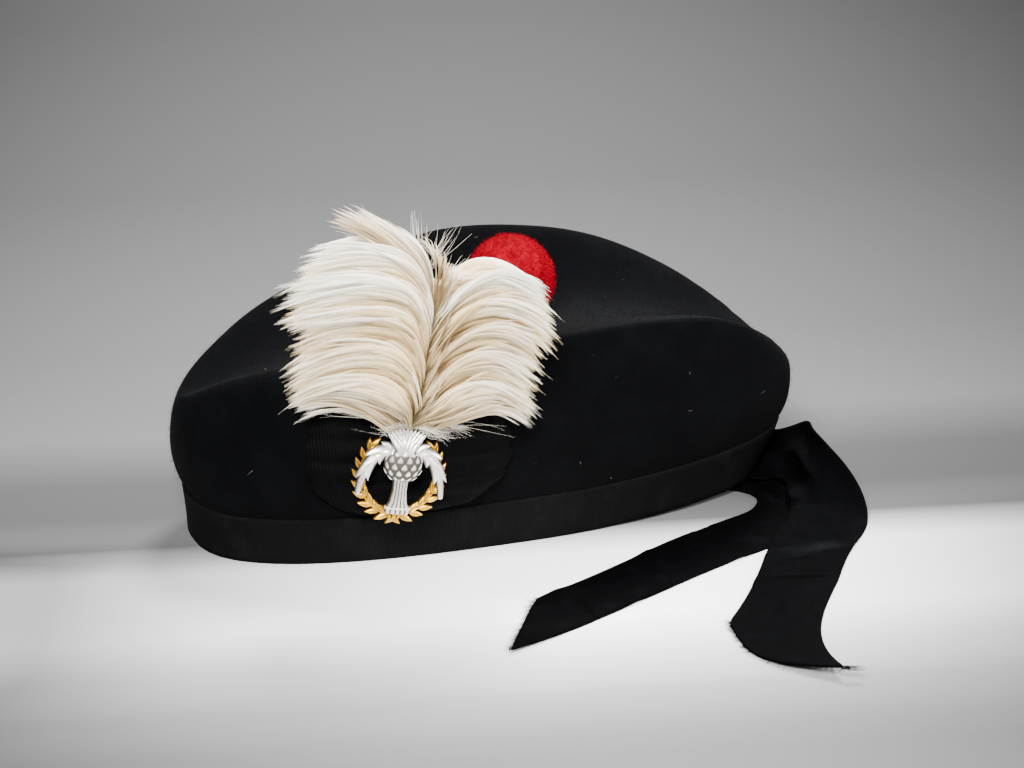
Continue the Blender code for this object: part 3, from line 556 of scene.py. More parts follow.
def smoothed(bm: bmesh.types.BMesh, name: str, levels: int = 2, crease_from: float = 180.0,
             crease: float = 0.0) -> bpy.types.Mesh:
    """Return a mesh subdivided into a smooth surface.

    Args:
        bm: the coarse form, which is freed.
        name: the new mesh's name.
        levels: how many times it is subdivided.
        crease_from: the angle in degrees from which an edge stays crisp.
        crease: how crisp, from 0 to 1.

    Returns:
        The mesh.
    """
    layer = bm.edges.layers.float.new("crease_edge")
    for edge in bm.edges:
        if edge.calc_face_angle(0.0) > math.radians(crease_from):
            edge[layer] = crease
    holder = linked(name, mesh_of(bm, name))
    surface = holder.modifiers.new("smooth", "SUBSURF")
    surface.levels = levels
    surface.render_levels = levels
    graph = bpy.context.evaluated_depsgraph_get()
    mesh = bpy.data.meshes.new_from_object(holder.evaluated_get(graph))
    bpy.data.objects.remove(holder)
    mesh.name = name
    mesh.shade_smooth()
    return mesh


def scattered(mesh: bpy.types.Mesh, count: int, rng: np.random.Generator,
              keep: Callable[[np.ndarray, np.ndarray], np.ndarray]) -> tuple:
    """Return random points on a mesh, evenly spread.

    Args:
        mesh: the surface.
        count: how many points to try.
        rng: the source of random numbers.
        keep: takes the points and normals and says which to keep.

    Returns:
        The points kept and their normals.
    """
    mesh.calc_loop_triangles()
    corners = np.zeros(len(mesh.loop_triangles) * 3, np.int32)
    mesh.loop_triangles.foreach_get("vertices", corners)
    corners = corners.reshape(-1, 3)
    where = places(mesh)
    a, b, c = (where[corners[:, k]] for k in range(3))
    cross = np.cross(b - a, c - a)
    areas = np.linalg.norm(cross, axis=1)
    chosen = rng.choice(len(areas), count, p=areas / areas.sum())
    u, v = rng.random((2, count))
    over = u + v > 1
    u[over], v[over] = 1 - u[over], 1 - v[over]
    points = a[chosen] + (b - a)[chosen] * u[:, None] + (c - a)[chosen] * v[:, None]
    facing = cross[chosen] / areas[chosen][:, None]
    kept = keep(points, facing)
    return points[kept], facing[kept]


def unit(vectors: np.ndarray) -> np.ndarray:
    """Return vectors scaled to a length of 1."""
    return vectors / np.maximum(np.linalg.norm(vectors, axis=-1, keepdims=True), 1e-12)


def heading_of(angle: float) -> np.ndarray:
    """Return the level direction at an angle from +X, in radians."""
    return np.array((math.cos(angle), math.sin(angle), 0.0))


def bent(start: np.ndarray, bend: np.ndarray, end: np.ndarray, t: np.ndarray) -> np.ndarray:
    """Return points from start to end on a curve drawn towards bend, at shares t of the way."""
    return start * (1 - t) ** 2 + bend * 2 * t * (1 - t) + end * t * t


def strands(name: str, lines: np.ndarray, across: np.ndarray, widths: np.ndarray,
            tones: np.ndarray, sections: tuple = (-1.0, 1.0), proud: np.ndarray | float = 0.0,
            threads: np.ndarray | None = None) -> bpy.types.Mesh:
    """Return one mesh of many thin flat strands.

    Args:
        name: the mesh's name.
        lines: each strand's middle line, strands by points by 3.
        across: the direction of its width at each point.
        widths: its width at each point.
        tones: its tone at each point.
        sections: the places across it that have a vertex, -1 to 1.
        proud: how far its middle stands out of its edges, strands by points by 3.
        threads: each strand's own number, which starts the pattern across it.

    Returns:
        The mesh, with the tones and the pattern's places stored on it.
    """
    q = np.array(sections)
    side = unit(across) * widths[..., None] / 2
    corners = lines[:, :, None, :] + side[:, :, None, :] * q[None, None, :, None]
    if threads is not None:
        corners = corners + proud[:, :, None, :] * (1 - q * q)[None, None, :, None]
    count, steps = lines.shape[:2]
    wide = len(sections)
    corner = (np.arange(count) * steps * wide)[:, None, None]
    corner = corner + (np.arange(steps - 1) * wide)[None, :, None]
    corner = corner + np.arange(wide - 1)[None, None, :]
    faces = np.stack((corner, corner + 1, corner + wide + 1, corner + wide), axis=-1)
    faces = faces.reshape(-1, 4)
    mesh = bpy.data.meshes.new(name)
    mesh.vertices.add(count * steps * wide)
    mesh.vertices.foreach_set("co", corners.astype(np.float32).ravel())
    mesh.loops.add(faces.size)
    mesh.loops.foreach_set("vertex_index", faces.astype(np.int32).ravel())
    mesh.polygons.add(len(faces))
    mesh.polygons.foreach_set("loop_start", np.arange(0, faces.size, 4, dtype=np.int32))
    mesh.update(calc_edges=True)
    mesh.shade_smooth()
    store(mesh, "tone", np.repeat(tones[..., None], wide, axis=2))
    if threads is not None:
        lead = widths.max(axis=1)[:, None, None] * q[None, None, :] * THREADS_PER_METRE
        store(mesh, "thread", threads[:, None, None] + lead + np.zeros((count, steps, 1)))
    return mesh


@dataclass(frozen=True)
class Fibre:
    """A short fibre that stands on a surface: its mean length, its width and how far it leans.

    The lengths, lean, curl and sunk foot are shares of the length, and the tip is a share of the
    width. The tones are those of the roots, and the tip's is added to them: where a finish reads
    the tones, the lighter tips are a painted highlight and the darker roots painted shade.
    """

    length: float
    width: float
    lean: float
    steps: int = 3
    lengths: tuple = (0.45, 1.4)
    curl: float = 0.35
    sunk: float = 0.08
    tip: float = 0.25
    tones: tuple = (0.25, 0.8)
    tip_tone: float = 0.3


def pile(name: str, mesh: bpy.types.Mesh, count: int, fibre: Fibre, rng: np.random.Generator,
         keep: Callable[[np.ndarray, np.ndarray], np.ndarray]) -> bpy.types.Mesh:
    """Return a mesh of short fibres standing on a surface.

    Args:
        name: the new mesh's name.
        mesh: the surface.
        count: how many fibres to try.
        fibre: what each is like.
        rng: the source of random numbers.
        keep: takes the points and normals of the fibres' feet and says which to keep.

    Returns:
        The mesh.
    """
    points, facing = scattered(mesh, count, rng, keep)
    kept = len(points)
    sideways = np.cross(facing, rng.normal(size=(kept, 3)))
    reach = (fibre.length * rng.uniform(*fibre.lengths, kept))[:, None]
    curl = rng.normal(size=(kept, 3)) * fibre.curl
    lines = []
    for t in np.linspace(0.0, 1.0, fibre.steps):
        bend = unit(sideways) * fibre.lean * t * t + curl * t * t
        lines.append(points + (facing * (t - fibre.sunk) + bend) * reach)
    widths = np.linspace(1.0, fibre.tip, fibre.steps)[None, :] * np.ones((kept, 1)) * fibre.width
    across = np.repeat(np.cross(facing, sideways)[:, None, :], fibre.steps, axis=1)
    tones = rng.uniform(*fibre.tones, kept)[:, None]
    # Tips lighter than roots: painted highlight at the tips and painted shade at the roots, for
    # finishes that read the tone.
    tones = tones + np.linspace(0.0, fibre.tip_tone, fibre.steps)[None, :]
    return strands(name, np.stack(lines, axis=1), across, widths, tones)


def leaning_frame(node: str, along: float, rise: float, half: float, tilt: float) -> Matrix:
    """Return the frame of a piece on the badge side: X along the felt, -Y outwards, Z up.

    Args:
        node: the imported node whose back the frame's plane touches.
        along: the world X of the frame's origin.
        rise: its height.
        half: how far to each side the felt's direction is taken.
        tilt: how far the piece leans towards the back of the cap, in radians.

    Returns:
        The frame's matrix.
    """
    bm = welded("crown_shell")
    felt = BVHTree.FromBMesh(bm)
    bm.free()
    ends = [felt.ray_cast(Vector((along + k * half, -1.0, rise)), Vector((0, 1, 0)))[0]
            for k in (-1, 1)]
    across = (ends[1] - ends[0]).normalized()
    inward = Vector((-across.y, across.x, 0.0))
    middle = Vector((along, 0.0, rise))
    back = max((v.co - middle).dot(inward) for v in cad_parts[node].data.vertices)
    turn = Matrix((across, inward, Vector((0, 0, 1)))).transposed()
    lean = turn @ Matrix.Rotation(tilt, 3, "Y")
    return Matrix.Translation((along, back / inward.y, rise)) @ lean.to_4x4()


@dataclass
class FeltCrown:
    """The felt shell with its nap."""

    dent: float = 0.0011
    dent_size: float = 0.045
    nap: Fibre = Fibre(length=0.0013, width=0.00007, lean=0.7)
    nap_count: int = 72000
    lint: Fibre = Fibre(length=0.0009, width=0.00013, lean=1.4, steps=5)
    lint_count: int = 170
    lint_colour: tuple = (0.09, 0.09, 0.09, 1.0)
    lint_roughness: float = 0.9
    seed: int = 11
    band_top: float = 0.021
    rear_from: float = 0.2
    rear_lift: float = 0.004
    hollow_ends: tuple = (0.03, 0.22)
    hollow_rise: float = 0.02
    fade: float = 0.02

    def build(self) -> None:
        """Build the smooth shell, then the nap that stands on its outside."""
        mesh = smoothed(welded("crown_shell"), "felt_crown", crease_from=60, crease=0.7)
        self.soften(mesh)
        finish = FeltFinish().material()
        show("felt_crown", mesh, finish, ["crown_shell"])
        rng = np.random.default_rng(self.seed)
        nap = pile("felt_nap", mesh, self.nap_count, self.nap, rng, self.outside)
        show("felt_nap", nap, finish)
        lint = pile("felt_lint", mesh, self.lint_count, self.lint, rng, self.outside)
        lint_finish = Graph("lint").dress(Base_Color=self.lint_colour,
                                          Roughness=self.lint_roughness)
        show("felt_lint", lint, lint_finish)

    def soften(self, mesh: bpy.types.Mesh) -> None:
        """Press shallow dents into the walls, both skins alike, but not near the rim."""
        where = places(mesh)
        shifts = roughness_at(where, self.dent_size)
        hold = np.clip((where[:, 2] - self.band_top) / self.fade, 0.0, 1.0)
        away = unit(where - self.inside_point(where))
        move(mesh, where + away * (shifts * hold * self.dent)[:, None])

    def inside_point(self, where: np.ndarray) -> np.ndarray:
        """Return the nearest point of a line along the middle of the hollow."""
        along = np.clip(where[:, 0], *self.hollow_ends)
        return np.stack((along, np.zeros(len(where)), np.full(len(where), self.hollow_rise)),
                        axis=1)

    def outside(self, where: np.ndarray, facing: np.ndarray) -> np.ndarray:
        """Return which points are on the outer skin above the ribbon."""
        out = (facing * (where - self.inside_point(where))).sum(axis=1) > 0
        rear = where[:, 0] > self.rear_from
        return out & (where[:, 2] > self.band_top + self.rear_lift * rear)


@dataclass
class RimRibbon:
    """The ribbed ribbon folded over the rim."""

    half_length: float = 0.127
    half_width: float = 0.049
    fullness: float = 0.82
    steps: int = 721

    def build(self) -> None:
        """Build the ribbon and store the distance round the rim for its ribs."""
        mesh = smoothed(welded("rim_binding"), "rim_ribbon", crease_from=50, crease=0.85)
        where = places(mesh)
        angle = np.arctan2(where[:, 1] / self.half_width,
                           (where[:, 0] - RIM_MIDDLE.x) / self.half_length)
        store(mesh, "along", self.distance_round(angle))
        show("rim_ribbon", mesh, RibbonFinish("rim_ribbon").material(),
             ["rim_binding"])

    def distance_round(self, angles: np.ndarray) -> np.ndarray:
        """Return how far round the rim each angle lies."""
        turns = np.linspace(-math.pi, math.pi, self.steps)
        x, y = (np.sign(part) * np.abs(part) ** self.fullness * half for part, half in
                ((np.cos(turns), self.half_length), (np.sin(turns), self.half_width)))
        reach = np.concatenate(([0.0], np.cumsum(np.hypot(np.diff(x), np.diff(y)))))
        seen = np.unwrap(np.arctan2(y / self.half_width, x / self.half_length))
        return np.interp(angles, seen - seen[0] - math.pi, reach)


@dataclass
class RibbonTail:
    """One of the two ribbon tails that lie behind the cap."""

    name: str
    node: str
    flat: tuple
    sewn_at: Vector
    sewn_heading: float
    creases: tuple
    finish: RibbonFinish
    rests_on: tuple
    end_heading: float
    curl_lift: float
    frays: tuple
    curl_length: float = 0.045
    crease_depth: float = 0.0006
    thread: Fibre = Fibre(length=0.0022, width=0.00016, lean=0.5, steps=4)
    thread_tries: int = 160000
    root_reach: float = 0.8
    root_past: float = 0.08
    end_reach: float = 0.06
    end_steep: float = 0.4
    end_forward: float = 0.25
    fray_steps: int = 9
    fray_taper: tuple = (1.8, 0.5)
    fray_foot: float = 0.0004
    fray_spread: float = 0.10
    fray_bend: float = 0.14
    seed: int = 81

    def build(self) -> None:
        """Build the tail, its creases and the loose threads of its cut end."""
        bm = welded(self.node)
        self.measure(bm)
        mesh = smoothed(bm, self.name, crease_from=50, crease=0.9)
        self.crease(mesh)
        finish = self.finish.material()
        piece = show(self.name, mesh, finish, [self.node])
        rng = np.random.default_rng(self.seed)
        threads = pile(f"{self.name}_threads", mesh, self.thread_tries, self.thread, rng,
                       self.at_end)
        where = places(threads)
        where[:, 2] = np.maximum(where[:, 2], self.thread.width)
        move(threads, where)
        show(f"{self.name}_threads", threads, finish)
        show(f"{self.name}_frays", self.fray(mesh, rng), finish)

    def fray(self, mesh: bpy.types.Mesh, rng: np.random.Generator) -> bpy.types.Mesh:
        """Return the loose threads that hang together at the corners of the cut end.

        Args:
            mesh: the tail, with the distance along it stored.
            rng: the source of random numbers.

        Returns:
            The mesh of the threads.
        """
        along = stored(mesh, "along")
        where = places(mesh)
        tail_end = where[along > along.max() - self.end_reach]
        lines = []
        t = np.linspace(0.0, 1.0, self.fray_steps)[:, None]
        for heading, length, count in self.frays:
            forward = heading_of(heading)
            corner = tail_end[np.argmax(tail_end @ forward)] - forward * self.thread.width
            for _ in range(count):
                start = corner + rng.normal(0.0, self.fray_foot, 3)
                end = corner + forward * length * rng.uniform(0.5, 1.0)
                end = end + rng.normal(0.0, length * self.fray_spread, 3)
                bend = (start + end) / 2 + rng.normal(0.0, length * self.fray_bend, 3)
                lines.append(bent(start, bend, end, t))
        lines = np.stack(lines)
        lines[..., 2] = np.maximum(lines[..., 2], self.thread.width)
        across = np.cross(np.gradient(lines, axis=1), np.array((0.0, 0.0, 1.0)))
        taper = np.linspace(*self.fray_taper, self.fray_steps)[None, :]
        widths = taper * self.thread.width * np.ones((len(lines), 1))
        return strands(f"{self.name}_frays", lines, across, widths, np.full(widths.shape, 0.5))

    def at_end(self, where: np.ndarray, facing: np.ndarray) -> np.ndarray:
        """Return which points are on the wall of the ribbon's cut end."""
        forward = heading_of(self.end_heading)
        reach = where @ forward
        cut = reach > reach.max() - self.end_reach
        wall = np.abs(facing[:, 2]) < self.end_steep
        return cut & wall & (facing @ forward > self.end_forward)

    def measure(self, bm: bmesh.types.BMesh) -> None:
        """Store the distance along the ribbon from its sewn end, found along its edges."""
        forward = Vector(heading_of(self.sewn_heading))
        layer = bm.verts.layers.float.new("along")
        width = self.flat[0]
        reach = {}
        queue = []
        for vert in bm.verts:
            away = vert.co - self.sewn_at
            near = away.length < width * self.root_reach
            if near and away.dot(forward) < width * self.root_past:
                heapq.heappush(queue, (0.0, vert.index, vert))
        while queue:
            far, _, vert = heapq.heappop(queue)
            if vert in reach:
                continue
            reach[vert] = far
            for edge in vert.link_edges:
                other = edge.other_vert(vert)
                if other not in reach:
                    heapq.heappush(queue, (far + edge.calc_length(), other.index, other))
        for vert, far in reach.items():
            vert[layer] = far

    def crease(self, mesh: bpy.types.Mesh) -> None:
        """Raise soft creases across the ribbon where it was folded."""
        along = stored(mesh, "along")
        where = places(mesh)
        lift = np.zeros(len(where))
        for middle, half in self.creases:
            share = (along - middle) / half
            lift += np.exp(-share ** 2) * self.crease_depth
        curl = np.clip(1 - (along.max() - along) / self.curl_length, 0.0, 1.0)
        lift += curl ** 2 * self.curl_lift
        where[:, 2] += lift
        move(mesh, where)


@dataclass
class Rosette:
    """The cockade of folded ribbon behind the badge."""

    ruffle: float = 0.008
    ruffle_depth: float = 0.0011
    ribs_along: float = 0.9

    def build(self) -> None:
        """Build the cockade with crisp folds."""
        mesh = smoothed(welded("cockade"), "rosette", crease_from=38, crease=0.35)
        where = places(mesh)
        ruffle = roughness_at(where, self.ruffle)
        move(mesh, where - normals(mesh) * (np.abs(ruffle) * self.ruffle_depth)[:, None])
        store(mesh, "along", where[:, 0] * self.ribs_along)
        finish = RibbonFinish("rosette_ribbon", rib=0.0011, rubbed=0.06, specular=0.03)
        show("rosette", mesh, finish.material(), ["cockade"])


@dataclass(frozen=True)
class Arch:
    """A line that the feathers follow, from the spine over an arch to a tip beside it.

    It starts at the root's height, climbs towards the rise, bends over below the crown and ends
    at a tip, so far across and so high.
    """

    root: float
    rise: float
    crown: float
    across: float
    tip: float


FRONT_ARCHES = (
    Arch(0.0, -0.006, 0.028, 0.0500, 0.010), Arch(0.004, 0.034, 0.038, 0.0505, 0.0145),
    Arch(0.016, 0.052, 0.050, 0.0525, 0.028), Arch(0.030, 0.068, 0.060, 0.0560, 0.0455),
    Arch(0.042, 0.082, 0.076, 0.0560, 0.061), Arch(0.052, 0.085, 0.088, 0.0500, 0.0765),
)
BACK_ARCHES = (
    Arch(0.0, -0.006, 0.029, 0.0470, 0.0145), Arch(0.004, 0.034, 0.039, 0.0490, 0.019),
    Arch(0.015, 0.046, 0.053, 0.0505, 0.031), Arch(0.026, 0.056, 0.065, 0.0525, 0.045),
    Arch(0.037, 0.068, 0.078, 0.0520, 0.056), Arch(0.048, 0.078, 0.087, 0.0480, 0.0690),
)
SPINE_ARCHES = (
    Arch(0.002, 0.014, 0.026, 0.0150, 0.022), Arch(0.014, 0.030, 0.042, 0.0150, 0.038),
    Arch(0.028, 0.044, 0.056, 0.0140, 0.053), Arch(0.040, 0.056, 0.068, 0.0130, 0.066),
    Arch(0.052, 0.068, 0.078, 0.0110, 0.078),
)
TUFT_ARCHES = (
    Arch(0.046, 0.070, 0.079, 0.0360, 0.0850), Arch(0.050, 0.074, 0.084, 0.0440, 0.0900),
    Arch(0.053, 0.078, 0.087, 0.0425, 0.0945), Arch(0.056, 0.082, 0.090, 0.0350, 0.0945),
    Arch(0.059, 0.084, 0.090, 0.0230, 0.0885),
)
CURL_ARCHES = (
    Arch(0.044, 0.060, 0.069, 0.0130, 0.0700), Arch(0.050, 0.066, 0.074, 0.0090, 0.0735),
    Arch(0.055, 0.073, 0.079, 0.0040, 0.0780), Arch(0.060, 0.078, 0.083, -0.0030, 0.0825),
    Arch(0.064, 0.080, 0.086, -0.0100, 0.0860),
)


@dataclass(frozen=True)
class Lobe:
    """One fan of plumes on a side of the spine, along arches from the lowest one up.

    The plumes are counted for each tier, which lies between two arches. The scale is their width
    as a share of the widest. The layer is how far out they lie, 1 on the face and 0 behind it.
    """

    name: str
    side: Side
    arches: tuple
    plumes: int
    scale: float
    layer: float
    seed: int


@dataclass(frozen=True)
class Wisp:
    """A group of loose hairs: the places across and up of their roots and tips."""

    root: tuple
    tip: tuple
    out: float
    count: int
    spread: float


@dataclass(frozen=True)
class Growth:
    """How unevenly plumes grow, and how their tone runs.

    The foot, the reaches, the short and the droop's start are places on the way from the spine
    to the tips, 0 to 1. The below, tier, ragged and drift are shares of a tier. The lift, droop,
    ripple and width are in metres. The tones run from creamy, 0, to white, 1. The middle tiers
    are made darker and creamier, partly the feathers' cream and partly painted shade, and the
    top and bottom tiers lighter.
    """

    below: float = 0.12
    tier: float = 0.05
    ragged: float = 0.22
    ragged_below: float = 0.3
    foot: float = 0.22
    reach: float = 0.955
    reach_spread: float = 0.024
    tier_reach: float = 0.016
    short: float = 0.16
    drift: float = 0.13
    lift: float = 0.0007
    droop: float = 0.0026
    droop_from: float = 0.6
    ripple: float = 0.0009
    waves: float = 4.5
    phases: float = 6.3
    width: float = 0.0034
    widths: tuple = (0.4, 1.35)
    tone: float = 0.095
    tier_tone: float = 0.04
    cream_and_shade_at: float = 0.45
    cream_depth: float = 0.19
    crest_tone: float = 0.30
    small_tone: float = 0.15


class Plumes:
    """The plumes of one lobe, as arrays: where each grows, how it lies, its width and tone."""

    def __init__(self, lobe: Lobe, grow: Growth, rng: np.random.Generator) -> None:
        """Let the plumes grow.

        Args:
            lobe: the fan that they fill.
            grow: how unevenly they grow.
            rng: the source of random numbers.
        """
        tiers = len(lobe.arches) - 1
        count = tiers * lobe.plumes
        tier = np.repeat(np.arange(tiers), lobe.plumes)
        self.count = count
        self.inside = rng.random(count) * (1 + grow.below) - grow.below
        level = tier + self.inside + rng.normal(0.0, grow.tier, tiers)[tier]
        hanging = np.abs(rng.normal(0.0, grow.ragged, count)) * (level < grow.ragged_below)
        self.level = level - hanging
        self.begin = rng.uniform(0.0, grow.foot, count)
        self.end = grow.reach + rng.normal(0.0, grow.reach_spread, count)
        self.end += rng.normal(0.0, grow.tier_reach, tiers)[tier]
        self.end -= grow.short * rng.random(count) ** 3
        self.drift = rng.normal(0.0, grow.drift, count)
        self.lift = rng.normal(0.0, grow.lift, count)
        self.droop = np.abs(rng.normal(0.0, grow.droop, count))
        self.ripple = rng.normal(0.0, grow.ripple, count)
        self.phase = rng.uniform(0.0, grow.phases, count)
        self.width = grow.width * lobe.scale * rng.uniform(*grow.widths, count)
        tone = rng.normal(0.0, grow.tone, count) + rng.normal(0.0, grow.tier_tone, tiers)[tier]
        # Middle tiers darker and creamier, partly the feathers' cream and partly painted shade.
        tone += grow.crest_tone * 4 * (self.level / tiers - grow.cream_and_shade_at) ** 2
        self.tone = tone - grow.cream_depth + grow.small_tone * (1 - lobe.scale)

    def crest(self) -> np.ndarray:
        """Return each plume's place within its tier, 0 below to 1 at its crest."""
        return np.clip(self.inside, 0, 1)


@dataclass
class Hackle:
    """The feather hackle: tiers of plumes that arch from a spine to both sides."""

    along: float = 0.0699
    rise: float = 0.061
    half: float = 0.0366
    tilt: float = math.radians(8.0)
    height: float = 0.094
    depth: float = 0.0225
    tier_step: float = 0.0075
    tier_rise: float = 0.016
    tier_sharp: float = 1.4
    tier_middle: float = 0.6
    least_out: float = 0.0015
    foot_below: float = 0.004
    foot_share: float = 0.30
    arch_skew: float = 0.8
    arch_share: float = 0.50
    tip_fall: float = 0.85
    bends: tuple = (0.08, 0.42)
    top_rise: float = 0.012
    core_scale: tuple = (0.74, 0.55, 0.78)
    core_shift: tuple = (0.0, -0.0008, 0.005)
    core_tone: float = 0.42
    lobes: tuple = (
        Lobe("hackle_front", Side.FRONT, FRONT_ARCHES, 120, 1.0, 1.0, 41),
        Lobe("hackle_front_lining", Side.FRONT, FRONT_ARCHES, 24, 1.0, 0.1, 51),
        Lobe("hackle_front_spine", Side.FRONT, SPINE_ARCHES, 16, 0.5, 1.12, 56),
        Lobe("hackle_back", Side.BACK, BACK_ARCHES, 120, 1.0, 1.0, 42),
        Lobe("hackle_back_lining", Side.BACK, BACK_ARCHES, 24, 1.0, 0.1, 52),
        Lobe("hackle_back_spine", Side.BACK, SPINE_ARCHES, 16, 0.5, 1.12, 57),
        Lobe("hackle_tuft", Side.FRONT, TUFT_ARCHES, 40, 0.42, 0.85, 61),
        Lobe("hackle_curl", Side.BACK, CURL_ARCHES, 26, 0.30, 0.85, 62),
    )
    growth: Growth = Growth()
    steps: int = 13
    form_places: tuple = (0.0, 0.15, 0.45, 0.72, 0.90, 1.0)
    plume_form: tuple = (0.30, 0.62, 1.0, 0.78, 0.34, 0.02)
    plume_sections: tuple = (-1.0, -0.5, 0.0, 0.5, 1.0)
    plume_arch: float = 0.16
    plume_threads: float = 7.3
    # Plume tone at the spine, its gain towards the tips, and a painted highlight on each tier's
    # crest with painted shade on the tier's lower part.
    plume_tones: tuple = (0.28, 0.44, 0.30)
    half_tier: float = 0.06
    barbs: int = 13
    barb_form: tuple = (0.30, 0.62, 1.0, 0.78, 0.40, 0.16)
    barb_width: float = 0.00016
    barb_widths: tuple = (0.5, 1.5)
    barb_taper: float = 0.22
    barb_feet: tuple = (0.15, 0.80)
    barb_cover: float = 0.6
    barb_lift: float = 0.00025
    barb_lift_spread: float = 0.0003
    barb_reach_spread: float = 0.016
    # Barb tone at the spine, its gain towards the tips, and the same painted highlight on tier
    # crests with painted shade below them.
    barb_tones: tuple = (0.34, 0.40, 0.27)
    barb_tone_spread: float = 0.07
    stray: float = 0.022
    stray_from: float = 0.45
    stray_way: float = 0.3
    hair_steps: int = 7
    wisp_taper: tuple = (0.55, 0.10)
    wisp_root_spread: float = 0.0012
    wisp_bend_spread: float = 0.0016
    wisp_least_out: float = 0.003
    wisp_low_share: float = 0.6
    wisp_tones: tuple = (0.9, 0.85)
    wisp_top: float = 0.03
    wisp_seed: int = 71
    wisp_groups: tuple = (
        Wisp((-0.006, 0.074), (-0.011, 0.0955), 0.009, 9, 0.0016),
        Wisp((-0.004, 0.076), (-0.0075, 0.0895), 0.009, 12, 0.0022),
        Wisp((-0.001, 0.074), (0.0045, 0.0885), 0.009, 14, 0.0026),
        Wisp((0.004, 0.068), (0.0125, 0.0760), 0.009, 22, 0.0022),
        Wisp((0.007, 0.071), (0.0285, 0.0740), 0.010, 28, 0.0022),
        Wisp((-0.022, 0.082), (-0.031, 0.0945), 0.009, 12, 0.0026),
        Wisp((-0.0020, 0.056), (-0.0050, 0.0750), 0.0085, 60, 0.0010),
        Wisp((-0.002, 0.006), (-0.0120, 0.0035), 0.006, 45, 0.0018),
        Wisp((-0.006, 0.001), (-0.021, 0.0040), 0.004, 5, 0.0030),
        Wisp((-0.018, 0.007), (-0.040, 0.0075), 0.004, 4, 0.0026),
        Wisp((0.003, 0.006), (0.0150, 0.0030), 0.006, 80, 0.0020),
        Wisp((0.009, 0.009), (0.0230, 0.0055), 0.005, 60, 0.0020),
        Wisp((0.006, 0.001), (0.022, 0.0040), 0.004, 5, 0.0030),
        Wisp((0.020, 0.008), (0.039, 0.0085), 0.004, 3, 0.0026),
    )

    def build(self) -> None:
        """Build the hidden down, every fan of plumes with its barbs, and the loose hairs."""
        self.leaning = leaning_frame("hackle", self.along, self.rise, self.half, self.tilt)
        self.turn = np.array(self.leaning.to_3x3())
        self.outwards = self.turn @ np.array((0.0, -1.0, 0.0))
        self.finish = FeatherFinish().material()
        self.core()
        for lobe in self.lobes:
            rng = np.random.default_rng(lobe.seed)
            plumes = Plumes(lobe, self.growth, rng)
            self.plumage(lobe, plumes)
            self.loose_barbs(lobe, plumes, rng)
        self.wisps()

    def core(self) -> None:
        """Build the dense body of down that the plumes lie on."""
        bm = welded("hackle")
        bm.transform(self.leaning.inverted())
        bmesh.ops.scale(bm, verts=bm.verts, vec=self.core_scale)
        bmesh.ops.translate(bm, verts=bm.verts, vec=self.core_shift)
        bm.transform(self.leaning)
        mesh = smoothed(bm, "hackle_down")
        store(mesh, "tone", np.full(len(mesh.vertices), self.core_tone))
        show("hackle_down", mesh, self.finish, ["hackle"])

    def to_cap(self, local: np.ndarray) -> np.ndarray:
        """Return points of the hackle's frame in the frame of the cap."""
        return local @ self.turn.T + np.array(self.leaning.translation)

    def fan(self, lobe: Lobe, level: np.ndarray, t: np.ndarray) -> np.ndarray:
        """Return points along a lobe's arches, across and up.

        Args:
            lobe: the lobe.
            level: which line, where 1.5 is halfway between the second and the third.
            t: how far from the spine to the tips, 0 to 1.

        Returns:
            The points, with the shape of both arguments and two columns.
        """
        rows = np.arange(len(lobe.arches))
        root, rise, crown, across, tip = (
            np.interp(level, rows, [getattr(arch, name) for arch in lobe.arches])
            for name in ("root", "rise", "crown", "across", "tip"))
        beyond = level - np.clip(level, 0, rows[-1])
        left = 1 - t
        near, far = self.bends
        x = 3 * left * left * t * near * across + 3 * left * t * t * far * across
        z = left ** 3 * root + 3 * left * left * t * rise
        z = z + 3 * left * t * t * crown + t ** 3 * tip
        z = z + beyond * self.top_rise * t
        return np.stack(((x + t ** 3 * across) * lobe.side.value, z), axis=-1)

    def outward(self, points: np.ndarray, t: np.ndarray, inside: np.ndarray) -> np.ndarray:
        """Return how far out the plumes lie: arched, and each tier over the one above."""
        climb = (points[..., 1] + self.foot_below) / (self.height * self.foot_share)
        body = np.clip(climb, 0.0, 1.0)
        body = self.depth * body * body * (3 - 2 * body)
        arch = np.sin(np.pi * np.clip(t, 0, 1) ** self.arch_skew)
        body *= 1 - self.arch_share + self.arch_share * arch
        body *= 1 - self.tip_fall * np.clip(t, 0, 1.03) ** 4
        crest = np.clip(inside, 0, 1) ** self.tier_sharp
        step = self.tier_step * (crest - self.tier_middle) * np.sqrt(np.clip(arch, 0, 1))
        return self.least_out + body + step

